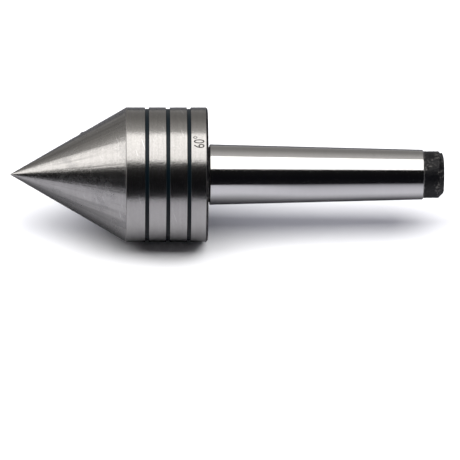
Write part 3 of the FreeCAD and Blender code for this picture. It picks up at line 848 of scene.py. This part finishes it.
def phosphated_spring_steel():
    """Grey-black phosphated spring steel of the circlip."""
    material, tree, shader = new_material("phosphated_spring_steel")
    field = turned_field(tree)
    grain = mottle(tree, field, 0.25, 53.0, 4.0, 0.65)
    cloud = mottle(tree, field, 2.5, 59.0)
    colours = blend_colour(tree, cloud, (0.035, 0.035, 0.034), (0.075, 0.073, 0.070))
    tree.links.new(colours, shader.inputs["Base Color"])
    shader.inputs["Metallic"].default_value = 0.6
    tree.links.new(calc(tree, "MULTIPLY_ADD", grain, 0.2, 0.38), shader.inputs["Roughness"])
    relief(tree, shader, [(grain, 0.000012)])
    return material


def wool_felt():
    """Pressed felt, darkened by oil in patches."""
    finish = settings().finish
    material, tree, shader = new_material("wool_felt")
    field = turned_field(tree)
    fibre = mottle(tree, field, 0.18, 67.0, 5.0, 0.7)
    oil = step(tree, mottle(tree, field, 3.0, 71.0), 0.4, 0.62)
    deep = [c * 0.7 for c in finish.felt]
    light = [min(1.0, c * 1.35) for c in finish.felt]
    colours = blend_colour(tree, fibre, deep, light)
    colours = blend_colour(tree, calc(tree, "MULTIPLY", oil, 0.6), colours, [c * 0.35 for c in finish.felt])
    tree.links.new(colours, shader.inputs["Base Color"])
    shader.inputs["Roughness"].default_value = 0.95
    shader.inputs["Sheen Weight"].default_value = 0.4
    relief(tree, shader, [(fibre, 0.00012)])
    return material


def etched_mark_finish():
    """Matt grey-black of the etched mark."""
    material, tree, shader = new_material("etched_mark")
    field = turned_field(tree)
    grain = mottle(tree, field, 0.12, 73.0, 4.0, 0.7)
    colours = blend_colour(tree, grain, (0.012, 0.011, 0.010), (0.055, 0.050, 0.046))
    tree.links.new(colours, shader.inputs["Base Color"])
    shader.inputs["Metallic"].default_value = 0.3
    tree.links.new(calc(tree, "MULTIPLY_ADD", grain, 0.25, 0.5), shader.inputs["Roughness"])
    relief(tree, shader, [(grain, 0.000006)])
    return material


def floor_finish():
    """Plain pale floor; the colour that the steel mirrors carries painted shade under the object and painted
    dimming with distance in front.
    """
    material, tree, shader = new_material("studio_floor")
    field = turned_field(tree)
    tone = mottle(tree, field, 60.0, 1.0)
    stage = settings().stage
    seen = tree.nodes.new("ShaderNodeLightPath").outputs["Is Camera Ray"]
    sideways, forwards, _ = add(tree, "ShaderNodeSeparateXYZ", {0: field["place"]}).outputs
    # Painted shade: as the steel mirrors it, the floor is darkened right under the object and dims with
    # distance in front; the camera sees it evenly pale.
    under_head = step(tree, sideways, 30.0 * MM, 0.0)
    away = calc(tree, "MAXIMUM", calc(tree, "MULTIPLY", forwards, -1.0), 0.0)
    shank_reach = stage.floor_shank_share * stage.floor_fade
    reach = scaled(tree, under_head, shank_reach, stage.floor_fade)
    painted_dimming = calc(tree, "POWER", calc(tree, "DIVIDE", away, reach), stage.floor_falloff)
    fade = calc(tree, "EXPONENT", calc(tree, "MULTIPLY", painted_dimming, -1.0))
    near = scaled(tree, under_head, stage.floor_dim_shank, stage.floor_dim_head)
    outwards = step(tree, calc(tree, "DIVIDE", away, near), 0.0, 1.0)
    painted_shade_beneath = scaled(tree, outwards, stage.floor_dim, 1.0)
    glow = calc(tree, "MULTIPLY", fade, painted_shade_beneath)
    mirrored = blend_colour(tree, glow, (0.0, 0.0, 0.0), stage.floor_mirrored)
    pale = blend_colour(tree, tone, stage.floor, [c * 0.985 for c in stage.floor])
    tree.links.new(blend_colour(tree, seen, mirrored, pale), shader.inputs["Base Color"])
    shader.inputs["Roughness"].default_value = 0.9
    shader.inputs["Specular IOR Level"].default_value = 0.0
    return material


MATERIALS = {
    "ground_head_steel": ground_head_steel,
    "polished_shank_steel": polished_shank_steel,
    "black_oxide_steel": black_oxide_steel,
    "bearing_ring_steel": bearing_ring_steel,
    "bearing_ball_steel": bearing_ball_steel,
    "pressed_cage_steel": lambda: sheet_finish("pressed_cage_steel", 1.0, 0.35, 0.3),
    "pressed_shield_steel": lambda: sheet_finish("pressed_shield_steel", 1.25, 0.6, 0.2),
    "shim_steel": lambda: sheet_finish("shim_steel", 1.3, 0.8, 0.16),
    "phosphated_spring_steel": phosphated_spring_steel,
    "wool_felt": wool_felt,
    "etched_mark": etched_mark_finish,
    "studio_floor": floor_finish,
}


def finish_for(name):
    """The named finish, made the first time that it is asked for."""
    return bpy.data.materials.get(name + "_finish") or MATERIALS[name]()


# ---------------------------------------------------------------- shapes

def head_outline():
    """Outline of the head from its tip, over the barrel, to the end of its stepped bore."""
    head = settings().head
    tip_x, rear_x, barrel = span("revolving_head")
    cover_front, _, cover = span("rear_cover")
    ring_front, _, ring = span("ball_bearing_outer_ring")
    washer_front, washer_rear, washer = span("thrust_housing_washer")
    cup_front, _, cup = span("needle_cup")
    edge = head.edge_break
    half_angle = head.point_angle / 2
    base_x = point_base()
    outline = [
        (tip_x, 0.0, 0.0),
        (tip_x, head.tip_round * math.tan(math.pi / 4 - half_angle / 2), head.tip_round),
        (base_x, barrel, head.point_edge),
    ]
    half = head.groove_width / 2
    floor = barrel - head.groove_depth
    for k in reversed(range(head.groove_count)):
        middle = rear_x - head.groove_inset - k * head.groove_pitch
        outline += [
            (middle - half, barrel, edge),
            (middle - half, floor, edge),
            (middle + half, floor, edge),
            (middle + half, barrel, edge),
        ]
    thread = cover + FIT
    bevel = 0.5 * MM
    drill_front = cup_front - head.drill_depth
    outline += [
        (rear_x, barrel, head.corner_round),
        (rear_x, thread + bevel, edge),
        (rear_x - bevel, thread, edge),
        (cover_front - 0.2 * MM, thread, 0.0),
        (cover_front - 0.2 * MM, ring + FIT, 0.0),
        (ring_front, ring + FIT, 0.0),
        (ring_front, head.cavity_radius, 0.0),
        (washer_rear + 0.3 * MM, head.cavity_radius, 0.0),
        (washer_rear + 0.3 * MM, washer + FIT, 0.0),
        (washer_front, washer + FIT, 0.0),
        (washer_front, cup + FIT, 0.0),
        (cup_front, cup + FIT, 0.0),
        (cup_front, head.drill_radius, 0.0),
        (drill_front, head.drill_radius, 0.0),
        (drill_front - head.drill_radius / math.tan(math.radians(59)), 0.0, 0.0),
    ]
    return spaced(soften(outline, 6), tip_x, base_x, 0.5 * MM)


def nick(mesh, centre, axis, along, across, depth):
    """A small knock: a shallow hollow, darkened inside by dirt and painted shade, with a raised lip on one
    side.
    """
    # The darkness inside the hollow is partly dirt and partly painted shade.
    knock_dirt_and_shade = mesh.attributes.new("knock_dirt_and_shade", "FLOAT", "POINT")
    for vertex in mesh.vertices:
        offset = vertex.co - centre
        if offset.length > 4 * along:
            continue
        run = offset.x / along
        side = (offset - axis * offset.dot(axis)).cross(Vector((1, 0, 0))).dot(axis) / across
        fade = math.exp(-side * side)
        lip = math.exp(-((run - 0.5) ** 2) * 5) - 0.8 * math.exp(-((run + 0.6) ** 2) * 3)
        vertex.co += axis * (depth * lip * fade)
        knock_dirt_and_shade.data[vertex.index].value = min(1.0, 1.6 * fade * math.exp(-run * run * 1.3))


def shank_outline():
    """Outline of the shank bar from the spindle's nose to the tail's centre hole."""
    shank = settings().shank
    nose_x, tail_x, _ = span("shank_spindle")
    inner_front, inner_rear, _ = span("ball_bearing_inner_ring")
    clip_front, _, _ = span("spindle_circlip")
    _, washer_rear, _ = span("thrust_shaft_washer")
    _, cup_rear, _ = span("needle_cup")
    taper_front = -shank.taper_front
    taper_rear = shank.taper_rear
    relief_front = taper_front - shank.relief_width
    relief_floor = shank.collar_radius - shank.relief_depth
    groove_floor = shank.ball_journal - 0.35 * MM
    thrust_front = cup_rear + 0.8 * MM
    edge = 0.06 * MM
    bevel = 0.5 * MM
    small = 0.25 * MM
    cone = (shank.hole_mouth - shank.hole_pilot) / math.tan(math.radians(30))
    drill_x = tail_x - shank.hole_depth
    nose_mouth = 2.1 * MM
    nose_pilot = 1.0 * MM
    nose_cone = (nose_mouth - nose_pilot) / math.tan(math.radians(30))
    nose_drill_x = nose_x + 4.5 * MM

    def taper(x):
        return shank.gauge_radius - shank.taper_rate * x

    outline = [
        (nose_drill_x + nose_pilot / math.tan(math.radians(59)), 0.0, 0.0),
        (nose_drill_x, nose_pilot, 0.0),
        (nose_x + nose_cone, nose_pilot, 0.0),
        (nose_x, nose_mouth, edge),
        (nose_x, shank.needle_journal - bevel, edge),
        (nose_x + bevel, shank.needle_journal, edge),
        (thrust_front, shank.needle_journal, 0.0),
        (thrust_front, shank.thrust_journal - bevel, edge),
        (thrust_front + bevel, shank.thrust_journal, edge),
        (washer_rear, shank.thrust_journal, 0.0),
        (washer_rear, shank.ball_journal - bevel, edge),
        (washer_rear + bevel, shank.ball_journal, edge),
        (clip_front - 0.05 * MM, shank.ball_journal, 0.0),
        (clip_front - 0.05 * MM, groove_floor, 0.0),
        (inner_front, groove_floor, 0.0),
        (inner_front, shank.ball_journal, 0.0),
        (inner_rear, shank.ball_journal, 0.0),
        (inner_rear, shank.collar_radius, edge),
        (relief_front, shank.collar_radius, edge),
        (relief_front, relief_floor, 0.0),
        (taper_front, relief_floor, 0.0),
        (taper_front, taper(taper_front) - small, edge),
        (taper_front + small, taper(taper_front + small), edge),
        (taper_rear - small, taper(taper_rear - small), edge),
        (taper_rear, shank.tail_radius, edge),
        (tail_x - shank.tail_chamfer, shank.tail_radius, 0.35 * MM),
        (tail_x, shank.tail_radius - shank.tail_chamfer, 0.3 * MM),
        (tail_x, shank.hole_mouth, edge),
        (tail_x - cone, shank.hole_pilot, edge),
        (drill_x, shank.hole_pilot, 0.0),
        (drill_x - shank.hole_pilot / math.tan(math.radians(59)), 0.0, 0.0),
    ]
    return spaced(soften(outline, 4), taper_rear, tail_x - 0.1 * MM, 0.22 * MM)


def roughen_tail(mesh, start_x, end_x, depth, burr):
    """Leaves the unground end uneven, with a burr on its upper rear edge."""
    shank = settings().shank
    mouth = shank.hole_mouth + 0.6 * MM
    up = Vector((0.0, math.sin(math.radians(28)), math.cos(math.radians(28))))
    for vertex in mesh.vertices:
        radial = Vector((0.0, vertex.co.y, vertex.co.z))
        if vertex.co.x < start_x or radial.length < mouth:
            continue
        rise = min(1.0, (vertex.co.x - start_x) / (0.8 * MM))
        coarse = noise.noise(vertex.co / (1.7 * MM))
        fine = noise.noise(vertex.co / (0.5 * MM))
        outward = radial.normalized()
        vertex.co -= outward * depth * rise * (0.6 + 0.5 * coarse + 0.35 * fine)
        facing = max(0.0, outward.dot(up)) ** 40
        near_end = math.exp(-(((end_x - 0.55 * MM - vertex.co.x) / (0.4 * MM)) ** 2))
        ragged = 0.6 + 1.3 * noise.noise(vertex.co / (0.9 * MM))
        vertex.co += outward * burr * facing * near_end * max(0.0, ragged)


def needle_outline():
    """One needle about its own axis, with broken ends."""
    low_x, high_x, _ = span("needle_rollers")
    radius = 0.72 * MM
    edge = 0.15 * MM
    return soften([
        (low_x, 0.0, 0.0),
        (low_x, radius, edge),
        (high_x, radius, edge),
        (high_x, 0.0, 0.0),
    ])


def ball_outline(middle_x, radius, steps=24):
    """Half circle of one ball about its own axis."""
    angles = [math.pi * k / steps for k in range(steps + 1)]
    points = [[middle_x - radius * math.cos(a), radius * math.sin(a)] for a in angles]
    points[0][1] = 0.0
    points[-1][1] = 0.0
    return [tuple(point) for point in points]


def rivet_outline():
    """One cage rivet about its own axis: shank and two domed heads."""
    low_x, high_x, _ = span("ball_bearing_cage_rivets")
    shank_radius = 0.4 * MM
    head_radius = 0.7 * MM
    head_height = 0.3 * MM
    return soften([
        (low_x, 0.0, 0.0),
        (low_x, head_radius, 0.2 * MM),
        (low_x + head_height, head_radius, 0.0),
        (low_x + head_height, shank_radius, 0.0),
        (high_x - head_height, shank_radius, 0.0),
        (high_x - head_height, head_radius, 0.0),
        (high_x, head_radius, 0.2 * MM),
        (high_x, 0.0, 0.0),
    ], 3)


# ---------------------------------------------------------------- operators

class LIVECENTRE_OT_trees(bpy.types.Operator):
    """Makes the two Geometry Nodes trees that the pieces share"""

    bl_idname = "livecentre.trees"
    bl_label = "Geometry trees"

    def execute(self, context):
        turning_tree()
        ring_of_copies_tree()
        return {"FINISHED"}


class LIVECENTRE_OT_revolving_head(bpy.types.Operator):
    """Turns the head with its point, grooves and stepped bore"""

    bl_idname = "livecentre.revolving_head"
    bl_label = "Revolving head"

    def execute(self, context):
        tip_x, _, _ = span("revolving_head")
        mesh = turn(head_outline(), finish_for("ground_head_steel"), "revolving_head_turned")
        knock_x = tip_x + settings().head.knock_inset
        lean = settings().head.knock_lean
        up = Vector((0.0, math.sin(lean), math.cos(lean)))
        slope = math.tan(settings().head.point_angle / 2)
        centre = Vector((knock_x, 0, 0)) + up * (knock_x - tip_x) * slope
        nick(mesh, centre, up, KNOCK_LENGTH, KNOCK_WIDTH, KNOCK_DEPTH)
        show(mesh, "revolving_head_turned", HEAD_BODY, "ground_head_steel", "revolving_head")
        return {"FINISHED"}


class LIVECENTRE_OT_angle_mark(bpy.types.Operator):
    """Etches the cone angle into the barrel behind the last groove"""

    bl_idname = "livecentre.angle_mark"
    bl_label = "Etched cone angle"

    def execute(self, context):
        head = settings().head
        _, rear_x, barrel = span("revolving_head")
        text = bpy.data.curves.new("cone_angle", "FONT")
        text.body = "60°"
        text.extrude = 0.02
        text.resolution_u = 6
        host = bpy.data.objects.new("cone_angle", text)
        context.scene.collection.objects.link(host)
        graph = context.evaluated_depsgraph_get()
        mesh = bpy.data.meshes.new_from_object(host.evaluated_get(graph), depsgraph=graph)
        bpy.data.objects.remove(host)
        corners = [vertex.co.copy() for vertex in mesh.vertices]
        low = Vector([min(c[k] for c in corners) for k in range(3)])
        high = Vector([max(c[k] for c in corners) for k in range(3)])
        size = high - low
        middle = (low + high) / 2
        proud = 0.012 * MM
        for vertex, corner in zip(mesh.vertices, corners):
            across = (corner.x - middle.x) / size.x * head.mark_length
            height = (corner.y - middle.y) / size.y * head.mark_height
            angle = head.mark_turn + across / barrel
            radius = barrel + (proud if corner.z > 0 else -4 * proud)
            vertex.co = (
                rear_x - head.mark_inset - height,
                -radius * math.cos(angle),
                radius * math.sin(angle),
            )
        work = bmesh.new()
        work.from_mesh(mesh)
        bmesh.ops.remove_doubles(work, verts=work.verts, dist=0.0000005)
        bmesh.ops.recalc_face_normals(work, faces=work.faces)
        work.to_mesh(mesh)
        work.free()
        mesh.materials.clear()
        mesh.materials.append(finish_for("etched_mark"))
        show(mesh, "cone_angle_mark", HEAD_BODY, "ground_head_steel")
        return {"FINISHED"}


class LIVECENTRE_OT_shank_spindle(bpy.types.Operator):
    """Turns the shank and spindle bar and roughens its unground tail end"""

    bl_idname = "livecentre.shank_spindle"
    bl_label = "Shank and spindle"

    def execute(self, context):
        shank = settings().shank
        _, tail_x, _ = span("shank_spindle")
        mesh = turn(shank_outline(), finish_for("polished_shank_steel"), "shank_spindle_turned")
        roughen_tail(mesh, shank.taper_rear + 0.1 * MM, tail_x, TAIL_ROUGHNESS, TAIL_BURR)
        show(mesh, "shank_spindle_turned", SHANK_BODY, "polished_shank_steel", "shank_spindle")
        return {"FINISHED"}


class LIVECENTRE_OT_rear_cover(bpy.types.Operator):
    """Finishes the rear cover, its felt seal and the clearance shim"""

    bl_idname = "livecentre.rear_cover"
    bl_label = "Rear cover, seal and shim"

    def execute(self, context):
        smooth_copy("rear_cover", HEAD_BODY, "black_oxide_steel", finish_for("black_oxide_steel"))
        smooth_copy("felt_seal_ring", HEAD_BODY, "wool_felt", finish_for("wool_felt"))
        smooth_copy("clearance_shim", HEAD_BODY, "shim_steel", finish_for("shim_steel"))
        return {"FINISHED"}


class LIVECENTRE_OT_ball_bearing(bpy.types.Operator):
    """Finishes the rear ball bearing and its circlip"""

    bl_idname = "livecentre.ball_bearing"
    bl_label = "Rear ball bearing"

    def execute(self, context):
        rings = finish_for("bearing_ring_steel")
        cage = finish_for("pressed_cage_steel")
        shield = finish_for("pressed_shield_steel")
        smooth_copy("ball_bearing_outer_ring", HEAD_BODY, "bearing_ring_steel", rings)
        smooth_copy("ball_bearing_inner_ring", SHANK_BODY, "bearing_ring_steel", rings)
        smooth_copy("ball_bearing_front_shield", HEAD_BODY, "pressed_shield_steel", shield)
        smooth_copy("ball_bearing_rear_shield", HEAD_BODY, "pressed_shield_steel", shield)
        for half in ("front", "rear"):
            smooth_copy(f"ball_bearing_cage_{half}_half", "rear_ball_set", "pressed_cage_steel", cage)
        clip = finish_for("phosphated_spring_steel")
        smooth_copy("spindle_circlip", SHANK_BODY, "phosphated_spring_steel", clip)

        balls = 9
        low_x, high_x, top = span("ball_bearing_balls")
        radius = (high_x - low_x) / 2
        steel = finish_for("bearing_ball_steel")
        one = turn(ball_outline((low_x + high_x) / 2, radius), steel, "ball", 48)
        name = "ball_bearing_balls_polished"
        mesh = copies(one, balls, top - radius, 0.0, steel, name)
        show(mesh, name, "rear_ball_set", "bearing_ball_steel", "ball_bearing_balls")
        one = turn(rivet_outline(), cage, "rivet", 24)
        name = "ball_bearing_cage_rivets_headed"
        mesh = copies(one, balls, top - radius, math.pi / balls, cage, name)
        show(mesh, name, "rear_ball_set", "pressed_cage_steel", "ball_bearing_cage_rivets")
        return {"FINISHED"}


class LIVECENTRE_OT_thrust_bearing(bpy.types.Operator):
    """Finishes the thrust bearing"""

    bl_idname = "livecentre.thrust_bearing"
    bl_label = "Thrust bearing"

    def execute(self, context):
        rings = finish_for("bearing_ring_steel")
        smooth_copy("thrust_shaft_washer", SHANK_BODY, "bearing_ring_steel", rings)
        smooth_copy("thrust_housing_washer", HEAD_BODY, "bearing_ring_steel", rings)
        cage = finish_for("pressed_cage_steel")
        smooth_copy("thrust_cage", "thrust_ball_set", "pressed_cage_steel", cage)
        low_x, high_x, top = span("thrust_balls")
        radius = (high_x - low_x) / 2
        steel = finish_for("bearing_ball_steel")
        one = turn(ball_outline((low_x + high_x) / 2, radius), steel, "ball", 48)
        mesh = copies(one, 10, top - radius, 0.0, steel, "thrust_balls_polished")
        show(mesh, "thrust_balls_polished", "thrust_ball_set", "bearing_ball_steel", "thrust_balls")
        return {"FINISHED"}


class LIVECENTRE_OT_needle_bearing(bpy.types.Operator):
    """Finishes the needle bearing in the head's nose"""

    bl_idname = "livecentre.needle_bearing"
    bl_label = "Needle bearing"

    def execute(self, context):
        shield = finish_for("pressed_shield_steel")
        cage = finish_for("pressed_cage_steel")
        steel = finish_for("bearing_ball_steel")
        smooth_copy("needle_cup", HEAD_BODY, "pressed_shield_steel", shield)
        smooth_copy("needle_cage", "needle_set", "pressed_cage_steel", cage)
        outline = needle_outline()
        _, _, top = span("needle_rollers")
        radius = max(r for _, r in outline)
        one = turn(outline, steel, "needle", 32)
        mesh = copies(one, 16, top - radius, 0.0, steel, "needle_rollers_polished")
        show(mesh, "needle_rollers_polished", "needle_set", "bearing_ball_steel", "needle_rollers")
        return {"FINISHED"}


class LIVECENTRE_OT_stage(bpy.types.Operator):
    """Sets the floor, the room light, the softbox and the camera"""

    bl_idname = "livecentre.stage"
    bl_label = "Studio and camera"

    def execute(self, context):
        lay_floor(context.scene)
        light_room(context.scene)
        hang_softbox(context.scene)
        hang_key(context.scene)
        place_camera(context.scene)
        context.scene.view_settings.view_transform = "Standard"
        return {"FINISHED"}


def lay_floor(scene):
    """A wide plain floor that the barrel lies on."""
    _, _, barrel = span("revolving_head")
    half = 4.0
    front = -settings().stage.floor_front
    mesh = bpy.data.meshes.new("studio_floor")
    corners = [
        (-half, front, -barrel),
        (half, front, -barrel),
        (half, half, -barrel),
        (-half, half, -barrel),
    ]
    mesh.from_pydata(corners, [], [(0, 1, 2, 3)])
    mesh.materials.append(finish_for("studio_floor"))
    floor = bpy.data.objects.new("studio_floor", mesh)
    scene.collection.objects.link(floor)


def light_room(scene):
    """Grey room beyond the object, dark room in front of it up to the softbox's edge."""
    world = bpy.data.worlds.new("studio_room")
    scene.world = world
    world.use_nodes = True
    tree = world.node_tree
    tree.nodes.clear()
    direction = tree.nodes.new("ShaderNodeTexCoord").outputs["Generated"]
    x, y, z = add(tree, "ShaderNodeSeparateXYZ", {0: direction}).outputs
    turn_up = calc(tree, "ARCTAN2", z, calc(tree, "MULTIPLY", y, -1.0))
    half_turns = calc(tree, "DIVIDE", turn_up, math.pi)
    room = settings().stage.room
    ramp = tree.nodes.new("ShaderNodeValToRGB")
    tree.links.new(half_turns, ramp.inputs[0])
    stops = ramp.color_ramp.elements
    stops[0].position = 0.0
    stops[0].color = (0.010, 0.010, 0.012, 1.0)
    stops[1].position = 1.0
    stops[1].color = (0.50, 0.49, 0.48, 1.0)
    for place, tone in (
        (0.10, (0.006, 0.006, 0.008)),
        (0.29, (0.008, 0.008, 0.008)),
        (0.33, (0.5, 0.48, 0.46)),
        (0.64, (0.76, 0.74, 0.71)),
        (0.71, (0.58, 0.565, 0.54)),
        (0.77, (0.43, 0.415, 0.395)),
        (0.82, (0.34, 0.33, 0.315)),
        (0.93, (0.32, 0.31, 0.30)),
    ):
        stops.new(place).color = (*tone, 1.0)
    right_side = scaled(tree, step(tree, x, 0.4, 0.2), 0.25, 1.0)
    mirrored = add(
        tree, "ShaderNodeBackground",
        {"Color": ramp.outputs[0], "Strength": calc(tree, "MULTIPLY", right_side, room)},
    )
    # The 0.92 behind the object was fitted to the shadow, as the key light's glow was.
    behind = scaled(tree, step(tree, half_turns, 0.5, 0.7), 0.06, 0.92)
    fill = add(
        tree, "ShaderNodeBackground",
        {"Color": (0.94, 0.95, 1.08, 1.0), "Strength": calc(tree, "MULTIPLY", behind, room)},
    )
    seen = add(tree, "ShaderNodeBackground", {"Color": (1.0, 1.0, 1.0, 1.0), "Strength": 1.0})
    path = tree.nodes.new("ShaderNodeLightPath").outputs
    light = add(
        tree, "ShaderNodeMixShader",
        {0: path["Is Diffuse Ray"], 1: mirrored.outputs[0], 2: fill.outputs[0]},
    )
    mix = add(
        tree, "ShaderNodeMixShader",
        {0: path["Is Camera Ray"], 1: light.outputs[0], 2: seen.outputs[0]},
    )
    output = tree.nodes.new("ShaderNodeOutputWorld")
    tree.links.new(mix.outputs[0], output.inputs["Surface"])


def hang_light(scene, name, sides, glow, tint):
    """A flat light over the object between two places along X and two along Y."""
    left, right, front, rear = sides
    light = bpy.data.lights.new(name, "AREA")
    light.shape = "RECTANGLE"
    light.size = right - left
    light.size_y = rear - front
    light.energy = glow * math.pi * light.size * light.size_y
    light.color = tint
    lamp = bpy.data.objects.new(name, light)
    lamp.location = ((left + right) / 2, (front + rear) / 2, settings().stage.softbox_height)
    lamp.visible_camera = False
    scene.collection.objects.link(lamp)
    return lamp


def hang_softbox(scene):
    """The long softbox that the steel mirrors."""
    stage = settings().stage
    front = -stage.softbox_height / math.tan(stage.softbox_front)
    rear = -stage.softbox_height / math.tan(stage.softbox_rear)
    sides = (-stage.softbox_left, stage.softbox_right, front, rear)
    softbox = hang_light(scene, "softbox", sides, stage.softbox_glow, (1.0, 0.985, 0.965))
    softbox.visible_diffuse = False
    softbox.rotation_euler.z = -stage.softbox_swing
    softbox.location.y -= softbox.location.x * math.tan(stage.softbox_swing)


def hang_key(scene):
    """The key light, level with the softbox, which draws the shadow and isn't mirrored.

    Its glow and its reach to the left, front and rear were fitted to the shadow and rounded; they weren't
    chosen by eye. Its reach to the right was changed after the fit.
    """
    stage = settings().stage
    sides = (-stage.key_left, stage.key_right, -stage.key_front, stage.key_rear)
    key = hang_light(scene, "key", sides, stage.key_glow, (1.0, 1.0, 1.0))
    key.visible_glossy = False


def place_camera(scene):
    """Long lens, level with the axis in the picture, looking down at the object's side."""
    stage = settings().stage
    low, high = CAD_BOX
    down = math.sin(stage.elevation)
    level = math.cos(stage.elevation)
    up = Vector((0.0, down, level))
    back = Vector((0.0, -level, down))
    aim = Vector(((low.x + high.x) / 2 + 0.9 * MM, 0.0, 0.0)) - up * 16.5 * MM
    place = Vector((low.x + 31.5 * MM, aim.y, aim.z)) + back * stage.distance
    ahead = (aim - place).normalized()
    right = Vector((1.0, 0.0, 0.0))
    right = (right - ahead * right.dot(ahead)).normalized()
    upright = right.cross(ahead)
    turn_matrix = Matrix((right, upright, -ahead)).transposed().to_4x4()
    data = bpy.data.cameras.new("camera")
    data.lens = stage.lens
    data.clip_start = 0.05
    data.clip_end = 50.0
    camera = bpy.data.objects.new("camera", data)
    camera.matrix_world = Matrix.Translation(place) @ turn_matrix
    scene.collection.objects.link(camera)
    scene.camera = camera


class LIVECENTRE_PT_panel(bpy.types.Panel):
    """Lists the live centre's pieces and settings"""

    bl_idname = "LIVECENTRE_PT_panel"
    bl_label = "Live centre"
    bl_space_type = "VIEW_3D"
    bl_region_type = "UI"
    bl_category = "Live centre"

    def draw(self, context):
        for operator in OPERATORS:
            self.layout.operator(operator.bl_idname)
        for group in ("head", "shank", "finish", "stage"):
            box = self.layout.box()
            box.label(text=group.capitalize())
            chosen = getattr(context.scene.live_centre, group)
            for name in chosen.__annotations__:
                box.prop(chosen, name)


GROUPS = (HeadSettings, ShankSettings, FinishSettings, StageSettings, LiveCentreSettings)
OPERATORS = (
    LIVECENTRE_OT_trees,
    LIVECENTRE_OT_revolving_head,
    LIVECENTRE_OT_angle_mark,
    LIVECENTRE_OT_shank_spindle,
    LIVECENTRE_OT_rear_cover,
    LIVECENTRE_OT_ball_bearing,
    LIVECENTRE_OT_thrust_bearing,
    LIVECENTRE_OT_needle_bearing,
    LIVECENTRE_OT_stage,
)


def register():
    for item in (*GROUPS, *OPERATORS, LIVECENTRE_PT_panel):
        bpy.utils.register_class(item)
    bpy.types.Scene.live_centre = bpy.props.PointerProperty(type=LiveCentreSettings)


def unregister():
    del bpy.types.Scene.live_centre
    for item in reversed((*GROUPS, *OPERATORS, LIVECENTRE_PT_panel)):
        bpy.utils.unregister_class(item)


def main():
    register()
    for operator in OPERATORS:
        group, name = operator.bl_idname.split(".")
        getattr(getattr(bpy.ops, group), name)()


if __name__ == "__main__":
    main()
